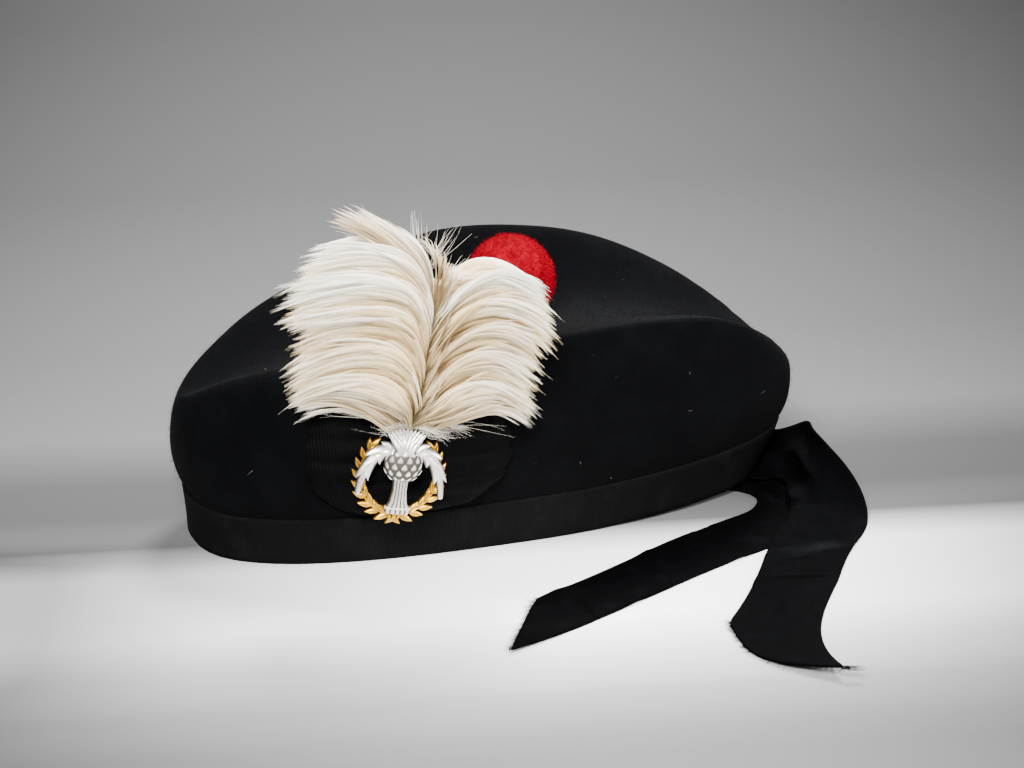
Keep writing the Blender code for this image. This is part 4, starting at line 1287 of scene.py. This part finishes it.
    def course(self, lobe: Lobe, plumes: Plumes, chosen: np.ndarray, share: np.ndarray,
               aside: np.ndarray | float, stretch: np.ndarray | float) -> tuple:
        """Return lines along plumes and the way across them.

        Args:
            lobe: the lobe.
            plumes: its plumes.
            chosen: the number of each line's plume.
            share: places along it, 0 to 1.
            aside: how far beside the plume's middle, in tiers.
            stretch: how much further than the plume it reaches.

        Returns:
            The lines, the directions across them and the places from spine to tip.
        """
        begin, level, inside, drift, lift, droop, ripple, phase = (
            values[chosen][:, None] for values in
            (plumes.begin, plumes.level, plumes.inside, plumes.drift, plumes.lift,
             plumes.droop, plumes.ripple, plumes.phase))
        reach = plumes.end[chosen] * stretch - plumes.begin[chosen]
        t = begin + reach[:, None] * share
        here = level + drift * t * t + aside
        wave = np.sin(phase + self.growth.waves * t) * ripple
        late = self.growth.droop_from
        fall = -droop * np.clip(t - late, 0, 1) ** 2 / (1 - late) ** 2 + wave
        shift = np.stack((np.zeros_like(t), lift + wave, fall), axis=-1)
        sides = []
        for k in (-self.half_tier, 0.0, self.half_tier):
            flat = self.fan(lobe, here + k, t)
            out = self.outward(flat, t, inside + aside + k) * lobe.layer
            local = np.stack((flat[..., 0], -out, flat[..., 1]), axis=-1) + shift
            sides.append(self.to_cap(local))
        return sides[1], sides[2] - sides[0], t

    def plumage(self, lobe: Lobe, plumes: Plumes) -> None:
        """Build the plumes of one lobe."""
        everyone = np.arange(plumes.count)
        s = np.linspace(0.0, 1.0, self.steps)[None, :]
        lines, across, t = self.course(lobe, plumes, everyone, s, 0.0, 1.0)
        widths = np.interp(s, self.form_places, self.plume_form) * plumes.width[:, None]
        root, gain, crest = self.plume_tones
        # The crest term is a painted highlight on each tier's crest and painted shade on its
        # lower part, where it lies under the next tier.
        shade = root + gain * t ** 1.5 + crest * plumes.crest()[:, None] + plumes.tone[:, None]
        proud = self.outwards * (widths[..., None] * self.plume_arch)
        mesh = strands(lobe.name, lines, across, widths, shade, self.plume_sections, proud,
                       everyone * self.plume_threads)
        show(lobe.name, mesh, self.finish)

    def loose_barbs(self, lobe: Lobe, plumes: Plumes, rng: np.random.Generator) -> None:
        """Build the loose barbs that lie over the plumes of one lobe.

        Args:
            lobe: the lobe.
            plumes: its plumes.
            rng: the source of random numbers.
        """
        chosen = np.repeat(np.arange(plumes.count), self.barbs)
        total = len(chosen)
        place = rng.uniform(-1.0, 1.0, (total, 1))
        start = rng.uniform(*self.barb_feet, (total, 1))
        share = start + (1 - start) * np.linspace(0.0, 1.0, self.hair_steps)[None, :]
        narrow = np.interp(share, self.form_places, self.barb_form)
        aside = place * narrow * plumes.width[chosen][:, None] / self.tier_rise * self.barb_cover
        away = rng.normal(0.0, self.stray, (total, 1))
        away = away * np.clip(share - self.stray_from, 0, 1) ** 2 / self.stray_way
        stretch = 1.0 + rng.normal(0.0, self.barb_reach_spread, total)
        lines, across, t = self.course(lobe, plumes, chosen, share, aside + away, stretch)
        spread = np.abs(rng.normal(0.0, self.barb_lift_spread, (total, 1, 1)))
        lift = self.barb_lift + spread
        thin = np.linspace(1.0, self.barb_taper, self.hair_steps)[None, :]
        widths = thin * self.barb_width * rng.uniform(*self.barb_widths, (total, 1))
        root, gain, crest = self.barb_tones
        # The crest term is a painted highlight on tier crests and painted shade below them.
        shade = root + gain * t + crest * plumes.crest()[chosen][:, None]
        shade = shade + plumes.tone[chosen][:, None]
        shade = shade + rng.normal(0.0, self.barb_tone_spread, (total, 1))
        name = f"{lobe.name}_barbs"
        mesh = strands(name, lines + self.outwards * lift, across, widths, shade)
        show(name, mesh, self.finish)

    def wisps(self) -> None:
        """Build the loose hairs that stand off the top and hang below."""
        rng = np.random.default_rng(self.wisp_seed)
        lines = []
        t = np.linspace(0.0, 1.0, self.hair_steps)[:, None]
        for group in self.wisp_groups:
            for _ in range(group.count):
                root = np.array((group.root[0], -group.out, group.root[1]))
                tip = np.array((group.tip[0], -group.out, group.tip[1]))
                start = root + rng.normal(0.0, self.wisp_root_spread, 3)
                end = tip + rng.normal(0.0, group.spread, 3)
                end[1] = min(end[1], -self.wisp_least_out)
                bend = (start + end) / 2 + rng.normal(0.0, self.wisp_bend_spread, 3)
                lines.append(bent(start, bend, end, t))
        lines = self.to_cap(np.stack(lines))
        across = np.cross(np.gradient(lines, axis=1), -self.outwards)
        above = lines[..., 2] > self.rise + self.wisp_top
        thin = np.linspace(*self.wisp_taper, self.hair_steps)[None, :]
        widths = thin * self.barb_width * np.where(above, 1.0, self.wisp_low_share)
        tones = np.where(above, *self.wisp_tones)
        show("hackle_wisps", strands("hackle_wisps", lines, across, widths, tones),
             self.finish)


@dataclass
class Toorie:
    """The red wool ball in the valley of the crown."""

    fibre: Fibre = Fibre(length=0.0010, width=0.00016, lean=0.6)
    count: int = 26000
    tuft: float = 0.0035
    tuft_depth: float = 0.0005
    # The ball's middle tone, and how far the painted highlight on its bumps and painted shade in
    # its hollows stray from it.
    tuft_tones: tuple = (0.45, 0.4)
    fill: float = 0.9
    seed: int = 31

    def build(self) -> None:
        """Build the ball and its pile."""
        mesh = smoothed(welded("toorie"), "toorie_ball")
        where = places(mesh)
        rough = roughness_at(where, self.tuft)
        move(mesh, where + normals(mesh) * (rough * self.tuft_depth)[:, None])
        # The tone follows the relief: painted highlight on the bumps and painted shade in the
        # hollows.
        middle, spread = self.tuft_tones
        store(mesh, "tone", middle + rough * spread)
        finish = WoolFinish().material()
        ball = show("toorie_ball", mesh, finish, ["toorie"])
        fibres = pile("toorie_pile", mesh, self.count, self.fibre,
                      np.random.default_rng(self.seed), lambda p, n: np.ones(len(p), bool))
        show("toorie_pile", fibres, finish)


@dataclass(frozen=True)
class Dome:
    """An oval dome of the badge, which other pieces can lie on."""

    rise: float
    half_width: float
    half_height: float
    depth: float

    def at(self, turn: np.ndarray, climb: np.ndarray, lift: np.ndarray | float) -> tuple:
        """Return points over the dome, across, out and up, by turn and climb in radians."""
        level = np.cos(climb)
        grown = 1 + lift / self.half_width
        return (self.half_width * grown * level * np.sin(turn),
                self.depth * level * np.cos(turn) + lift,
                self.rise + self.half_height * grown * np.sin(climb))


@dataclass
class Stamping:
    """One metal of the badge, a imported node's worth of closed pieces that are flat behind."""

    node: str
    slot: Slot
    finish: MetalFinish
    along: float = 0.0659
    rise: float = 0.0445
    half: float = 0.020
    tilt: float = math.radians(8.0)
    crisp: float = math.radians(48.0)

    def build(self) -> None:
        """Build the pieces flat and lay them on the cap as one."""
        self.bm = bmesh.new()
        self.bm.verts.layers.float.new("proud")
        self.fill()
        bmesh.ops.recalc_face_normals(self.bm, faces=self.bm.faces)
        self.bm.transform(leaning_frame(self.node, self.along, self.rise, self.half, self.tilt))
        mesh = mesh_of(self.bm, f"{self.node}_dressed")
        mesh.set_sharp_from_angle(angle=self.crisp)
        show(f"{self.node}_dressed", mesh, self.finish.material(), [self.node])

    def fill(self) -> None:
        """Add the pieces, which each badge part does in its own way."""
        raise NotImplementedError

    def raised(self, rows: int, columns: int,
               shape: Callable[[np.ndarray, np.ndarray], tuple]) -> None:
        """Add a closed piece of stamped metal, flat behind, in the badge's frame.

        Args:
            rows: how many quads it has along it.
            columns: how many quads it has across it.
            shape: takes places along it, 0 to 1, and across it, -1 to 1, and returns the points
                across, out and up and how proud each is, 0 to 1.
        """
        made = bmesh.ops.create_grid(self.bm, x_segments=columns, y_segments=rows,
                                     size=1.0)["verts"]
        spots = np.array([(vert.co.y, vert.co.x) for vert in made])
        across, out, up, proud = shape((spots[:, 0] + 1) / 2, spots[:, 1])
        layer = self.bm.verts.layers.float["proud"]
        for vert, x, y, z, share in zip(made, across, out, up, np.clip(proud, 0.0, 1.0)):
            vert.co = (x, -y, z)
            vert[layer] = share
        faces = list({face for vert in made for face in vert.link_faces})
        for back in bmesh.ops.extrude_face_region(self.bm, geom=faces)["geom"]:
            if isinstance(back, bmesh.types.BMVert):
                back.co.y = 0.0
                back[layer] = 0.0


@dataclass
class Wreath(Stamping):
    """Two laurel sprays with berries, crossed below and tied."""

    spray_across: float = 0.01625
    spray_up: float = 0.01775
    spray_turns: tuple = (math.radians(-112.0), math.radians(42.0))
    spray_pairs: int = 10
    spray_leaf: tuple = (0.0066, 0.00135)
    spray_spread: float = math.radians(31.0)
    spray_from: float = 0.10
    spray_to: float = 0.94
    spray_shrink: float = 0.28
    spray_overlap: float = 0.0004
    tip_place: float = 0.97
    tip_size: float = 0.8
    tip_turn: float = 0.1
    tip_lift: float = 0.0005
    leaf_out: float = 0.0007
    leaf_arch: float = 0.0009
    vein_depth: float = 0.00035
    stem_half: float = 0.00055
    stem_out: float = 0.0008
    stem_arch: float = 0.0006
    berry: float = 0.00075
    berry_out: float = 0.0017
    berry_inside: float = 0.90
    berry_proud: float = 0.85
    tie: Dome = Dome(rise=-0.0178, half_width=0.0030, half_height=0.0022, depth=0.0024)
    tie_cord: float = 0.0003

    def fill(self) -> None:
        """Add both laurel sprays and the tie over their crossed stems."""
        for side in (1, -1):
            self.spray(side)

        def knot(t: np.ndarray, q: np.ndarray) -> tuple:
            """Shape the tie as four turns of cord."""
            cord = 0.5 + 0.5 * np.cos(q * 4 * math.pi)
            lift = cord * self.tie_cord
            return *self.tie.at(q * math.pi / 2, (t - 0.5) * math.pi, lift), cord

        self.raised(8, 32, knot)

    def spray_place(self, share: float) -> tuple:
        """Return a point across and up on the right spray's stem and the way it heads."""
        low, high = self.spray_turns
        turn = low + (high - low) * share
        heading = math.atan2(math.cos(turn) * self.spray_up, -math.sin(turn) * self.spray_across)
        return (math.cos(turn) * self.spray_across, math.sin(turn) * self.spray_up), heading

    def spray(self, side: int) -> None:
        """Add one laurel spray.

        Args:
            side: 1 for the right spray, -1 for the left.
        """
        low, high = self.spray_turns

        def stem(t: np.ndarray, q: np.ndarray) -> tuple:
            """Shape the stem, which thins towards its end."""
            turn = low + (high - low) * t
            grow = 1 + q * self.stem_half * (1 - 0.6 * t) / self.spray_up
            return (np.cos(turn) * self.spray_across * grow * side,
                    self.stem_out + self.stem_arch * np.sqrt(1 - q * q),
                    np.sin(turn) * self.spray_up * grow, 0.9 - 0.6 * np.abs(q))

        self.raised(48, 4, stem)
        shares = np.linspace(self.spray_from, self.spray_to, self.spray_pairs)
        for k, share in enumerate(shares):
            root, heading = self.spray_place(share)
            size = 1 - self.spray_shrink * share
            for hand in (-1, 1):
                self.laurel_leaf(root, heading + hand * self.spray_spread, size,
                                 self.spray_overlap * (k % 2), side)
            if k % 2:
                x, z = (part * self.berry_inside for part in root)
                ball = Matrix.Translation((x * side, -self.berry_out, z))
                made = bmesh.ops.create_icosphere(self.bm, subdivisions=2, radius=self.berry,
                                                  matrix=ball)["verts"]
                for vert in made:
                    vert[self.bm.verts.layers.float["proud"]] = self.berry_proud
        root, heading = self.spray_place(self.tip_place)
        self.laurel_leaf(root, heading + self.tip_turn, self.tip_size, self.tip_lift, side)

    def laurel_leaf(self, root: tuple, heading: float, size: float, lift: float,
                    side: int) -> None:
        """Add one laurel leaf with a sunk vein along its middle.

        Args:
            root: its foot, across and up, on the right spray.
            heading: the way it points.
            size: its size, as a share of the largest.
            lift: how much further out it lies than the lowest leaves.
            side: 1 for the right spray, -1 for the left.
        """
        forward = (math.cos(heading), math.sin(heading))
        length, half = (part * size for part in self.spray_leaf)

        def shape(t: np.ndarray, q: np.ndarray) -> tuple:
            """Shape the leaf."""
            width = half * np.maximum(np.sin(np.pi * t ** 0.75) ** 0.85, 0.04) * q
            vein = np.exp(-(q / 0.22) ** 2)
            full = np.sin(np.pi * np.clip(t, 0.02, 0.98)) ** 0.5
            out = self.leaf_out + lift + self.leaf_arch * full * (1 - 0.8 * q * q)
            out = out - self.vein_depth * vein * full
            return ((root[0] + forward[0] * length * t - forward[1] * width) * side, out,
                    root[1] + forward[1] * length * t + forward[0] * width,
                    0.85 - 0.35 * q * q - 0.75 * vein)

        self.raised(10, 8, shape)


@dataclass
class Thistle(Stamping):
    """A thistle head on a fluted trunk between two toothed leaves."""

    bulb: Dome = Dome(rise=0.0056, half_width=0.0070, half_height=0.0071, depth=0.0040)
    bulb_proud: float = 0.1
    bract_rows: int = 6
    bract_lowest: float = math.radians(-82.0)
    bract_step: float = math.radians(21.0)
    bract_turn: float = math.radians(30.0)
    bract_climb: float = math.radians(46.0)
    bract_rim: float = math.radians(88.0)
    bract_overlap: float = 0.0001
    bract_half: float = 0.52
    bract_out: float = 0.0002
    bract_tip: float = 0.00055
    bract_ridge: float = 0.00018
    florets: tuple = ((11, 0.0112, 0.0021), (9, 0.0090, 0.0029), (6, 0.0068, 0.0036))
    floret_fan: float = math.radians(35.0)
    floret_half: float = 0.0011
    floret_foot: tuple = (0.0026, 0.0096)
    floret_ridge: float = 0.0004
    trunk: tuple = ((0.0022, 0.0032), (-0.0060, 0.0029), (-0.0110, 0.0036),
                    (-0.0142, 0.0051), (-0.0158, 0.0049))
    trunk_out: float = 0.0008
    trunk_round: float = 0.0020
    flute_depth: float = 0.00055
    collars: tuple = ((-0.0009, 0.0034), (-0.0136, 0.0052))
    collar_height: float = 0.0016
    collar_out: float = 0.0010
    collar_round: float = 0.0026
    leaf_teeth: int = 6
    leaf_half: float = 0.0044
    leaf_turns: tuple = (math.radians(205.0), math.radians(10.0))
    leaf_middle: tuple = (0.0098, 0.0043)
    leaf_reach: tuple = (0.0074, 0.0103)
    leaf_drop: float = 0.0146
    leaf_steps: int = 80
    leaf_out: float = 0.0006
    leaf_arch: float = 0.0016
    leaf_rib: float = 0.00035

    def fill(self) -> None:
        """Add the thistle: its florets, bulb, bracts, trunk and leaves."""
        for side in (1, -1):
            self.thistle_leaf(side)
        self.add_trunk()
        for count, length, out in self.florets:
            for k in range(count):
                self.floret(2 * (k + 0.5) / count - 1, length, out)

        def bulb(t: np.ndarray, q: np.ndarray) -> tuple:
            """Shape the bulb under the bracts."""
            spot = self.bulb.at(q * math.pi / 2, (t - 0.5) * math.pi, 0.0)
            return *spot, np.full(len(t), self.bulb_proud)

        self.raised(16, 16, bulb)
        for row in reversed(range(self.bract_rows)):
            climb = self.bract_lowest + row * self.bract_step
            for k in range(-4, 5):
                turn = (k + 0.5 * (row % 2)) * self.bract_turn
                if abs(turn) < self.bract_rim:
                    self.bract(turn, climb, self.bract_overlap * (self.bract_rows - row))

    def bract(self, turn: float, climb: float, lift: float) -> None:
        """Add one pointed scale of the bulb.

        Args:
            turn: its place round the bulb, in radians.
            climb: its foot's place up the bulb, in radians.
            lift: how far it stands off the bulb.
        """
        def shape(t: np.ndarray, q: np.ndarray) -> tuple:
            """Shape the scale."""
            wide = np.interp(t, (0.0, 0.35, 0.75, 1.0), (0.75, 1.0, 0.62, 0.04))
            ridge = np.exp(-(q / 0.3) ** 2)
            stand = lift + self.bract_out + self.bract_tip * t + self.bract_ridge * ridge
            spot = self.bulb.at(turn + q * wide * self.bract_turn * self.bract_half,
                                climb + t * self.bract_climb, stand)
            return *spot, np.interp(t, (0.5, 0.72, 1.0), (0.0, 0.5, 1.0)) * (1 - 0.6 * q * q)

        self.raised(6, 4, shape)

    def floret(self, place: float, length: float, out: float) -> None:
        """Add one narrow petal of the tuft.

        Args:
            place: its place in the fan, -1 to 1.
            length: its length.
            out: how far out its middle stands.
        """
        lean = place * self.floret_fan
        reach = length * (1 - 0.10 * place * place)
        foot_across, foot_up = self.floret_foot

        def shape(t: np.ndarray, q: np.ndarray) -> tuple:
            """Shape the petal, which curls outwards at its tip."""
            half = np.interp(t, (0.0, 0.6, 0.88, 1.0), (0.5, 1.0, 0.75, 0.08))
            half = half * self.floret_half
            bend = lean * (0.55 + 0.45 * t)
            across = place * foot_across + np.sin(bend) * reach * t + np.cos(bend) * q * half
            up = foot_up + np.cos(bend) * reach * t - np.sin(bend) * q * half
            stand = out * (1 - 0.35 * t * t) + self.floret_ridge * (1 - q * q)
            return across, stand, up, 0.85 - 1.0 * q * q - 0.25 * (1 - t)

        self.raised(8, 4, shape)

    def add_trunk(self) -> None:
        """Add the fluted trunk and the two collars round it."""
        ups, halves = zip(*reversed(self.trunk))

        def flutes(t: np.ndarray, q: np.ndarray) -> tuple:
            """Shape the trunk, which flares at its foot."""
            up = ups[0] + (ups[-1] - ups[0]) * t
            half = np.interp(up, ups, halves)
            rib = 0.5 + 0.5 * np.cos(q * 5 * math.pi)
            out = self.trunk_out + self.trunk_round * np.sqrt(1 - 0.9 * q * q)
            return half * q, out + self.flute_depth * rib, up, rib

        self.raised(24, 42, flutes)
        for up, half in self.collars:
            def collar(t: np.ndarray, q: np.ndarray) -> tuple:
                """Shape a collar."""
                swell = np.sin(np.pi * np.clip(t, 0.03, 0.97))
                out = self.collar_out + self.collar_round * np.sqrt(1 - 0.9 * q * q) * swell
                return half * q, out, up + (t - 0.5) * self.collar_height, 0.2 + 0.8 * swell

            self.raised(6, 16, collar)

    def thistle_leaf(self, side: int) -> None:
        """Add one toothed leaf, arched out and down from the trunk.

        Args:
            side: 1 for the right leaf, -1 for the left.
        """
        steps = np.linspace(0.0, 1.0, self.leaf_steps)
        turn = np.linspace(*self.leaf_turns, self.leaf_steps)
        (x, z), (wide, high) = self.leaf_middle, self.leaf_reach
        middle = np.stack((x + wide * np.cos(turn),
                           z + high * np.sin(turn) - self.leaf_drop * steps ** 2), axis=1)
        forward = unit(np.gradient(middle, axis=0))

        def shape(t: np.ndarray, q: np.ndarray) -> tuple:
            """Shape the leaf, with a vein to each tooth."""
            tooth = (t * self.leaf_teeth) % 1.0
            swept = t + 0.06 * np.abs(q) * tooth
            x, z, ahead, above = (np.interp(swept, steps, column) for column in
                                  (middle[:, 0], middle[:, 1], forward[:, 0], forward[:, 1]))
            full = np.sin(np.pi * np.clip(0.06 + 0.935 * t, 0, 0.998)) ** 0.7
            half = self.leaf_half * full * (0.58 + 0.42 * tooth)
            phase = ((t + 0.11 * (1 - np.abs(q))) * self.leaf_teeth) % 1.0
            vein = np.exp(-(np.minimum(phase, 1 - phase) / 0.13) ** 2)
            rib = np.maximum(np.exp(-(q / 0.12) ** 2), vein * 0.8)
            out = self.leaf_out + self.leaf_arch * np.sqrt(1 - 0.85 * q * q)
            out = out + self.leaf_rib * rib
            return ((x + above * half * q) * side, out, z - ahead * half * q,
                    0.22 + 0.34 * (1 - q * q) + 0.50 * rib - 0.30 * (1 - tooth) * np.abs(q))

        self.raised(self.leaf_teeth * 12, 14, shape)


@dataclass
class Studio:
    """The floor, the lights and the camera."""

    azimuth: float = math.radians(20.0)
    elevation: float = math.radians(22.0)
    distance: float = 1.8
    lens: float = 148.9
    sensor: float = 36.0
    target: Vector = Vector((0.1436, 0.0132, 0.0455))
    floor_half: float = 4.0
    lights: tuple = (("key_light", (-0.60, -1.30, 1.25), 0.55, 165.0),
                     ("fill_light", (1.35, -1.1, 0.80), 0.8, 66.0),
                     ("back_light", (0.62, 0.80, 1.45), 0.45, 95.0))
    sky_colour: tuple = (0.80, 0.80, 0.81, 1.0)
    sky_strength: float = 0.94

    def build(self) -> None:
        """Build the floor, the lights and the camera."""
        self.floor()
        for name, place, size, power in self.lights:
            self.light(name, place, size, power)
        self.ambient()
        self.camera()

    def floor(self) -> None:
        """Build the floor."""
        bm = bmesh.new()
        bmesh.ops.create_grid(bm, x_segments=2, y_segments=2, size=self.floor_half)
        mesh = mesh_of(bm, "studio_floor")
        mesh.materials.append(FloorWithPaintedLight().material())
        linked("studio_floor", mesh)

    def light(self, name: str, place: tuple, size: float, power: float) -> None:
        """Add a square soft light that looks at the cap.

        Args:
            name: its name.
            place: where it hangs.
            size: its side.
            power: its power in watts.
        """
        lamp = bpy.data.lights.new(name, "AREA")
        lamp.shape = "SQUARE"
        lamp.size = size
        lamp.energy = power
        self.hang(linked(name, lamp), Vector(place))

    def hang(self, holder: bpy.types.Object, place: Vector) -> None:
        """Put a light or the camera in its place, turned towards the cap."""
        holder.location = place
        holder.rotation_euler = (self.target - place).to_track_quat("-Z", "Y").to_euler()

    def ambient(self) -> None:
        """Light the room softly from all round."""
        world = bpy.data.worlds.new("studio")
        world.use_nodes = True
        sky = world.node_tree.nodes["Background"]
        sky.inputs["Color"].default_value = self.sky_colour
        sky.inputs["Strength"].default_value = self.sky_strength
        bpy.context.scene.world = world

    def camera(self) -> None:
        """Add the camera at the photograph's angle."""
        seen = bpy.data.cameras.new("photo_camera")
        seen.lens = self.lens
        seen.sensor_width = self.sensor
        holder = linked("photo_camera", seen)
        level = math.cos(self.elevation)
        forward = Vector((level * math.sin(self.azimuth), level * math.cos(self.azimuth),
                          -math.sin(self.elevation)))
        self.hang(holder, RIM_MIDDLE - forward * self.distance)
        bpy.context.scene.camera = holder


def main() -> None:
    """Build every part of the cap in order, then the studio."""
    logging.basicConfig(level=logging.INFO, format="%(name)s %(message)s")
    lower = RibbonTail(
        name="tail_under", node="tail_lower", flat=(0.033, 0.2633),
        sewn_at=Vector((0.2199, 0.028, 0.004)), sewn_heading=math.radians(-67.0),
        creases=((0.150, 0.004), (0.205, 0.005)),
        finish=RibbonFinish("tail_under_ribbon", rubbed=0.18, specular=0.010),
        rests_on=("studio_floor",), end_heading=math.radians(-158.0), curl_lift=0.0015,
        frays=((math.radians(-140.0), 0.0025, 12),))
    upper = RibbonTail(
        name="tail_over", node="tail_upper", flat=(0.033, 0.2125),
        sewn_at=Vector((0.2480, 0.020, 0.012)), sewn_heading=math.radians(-87.0),
        creases=((0.118, 0.003), (0.138, 0.004), (0.165, 0.004)),
        finish=RibbonFinish("tail_over_ribbon", rubbed=0.18, bands=((0.136, 0.007),),
                            specular=0.010),
        rests_on=("studio_floor", "tail_under"), end_heading=math.radians(-131.0),
        curl_lift=0.001,
        frays=((math.radians(-24.0), 0.0085, 44), (math.radians(165.0), 0.0030, 10)))
    gilt = MetalFinish("gilt", bright=(0.66, 0.38, 0.035), tarnish=(0.14, 0.055, 0.004),
                       hollow=0.34)
    white_metal = MetalFinish("white_metal", bright=(0.93, 0.90, 0.85),
                              tarnish=(0.10, 0.09, 0.075), hollow=0.36)
    wreath = Wreath("badge_wreath", Slot.GILT, gilt)
    thistle = Thistle("badge_thistle", Slot.WHITE_METAL, white_metal)
    for part in (FeltCrown(), RimRibbon(), lower, upper, Rosette(), wreath, thistle, Hackle(),
                 Toorie(), Studio()):
        part.build()


if __name__ == "__main__":
    main()
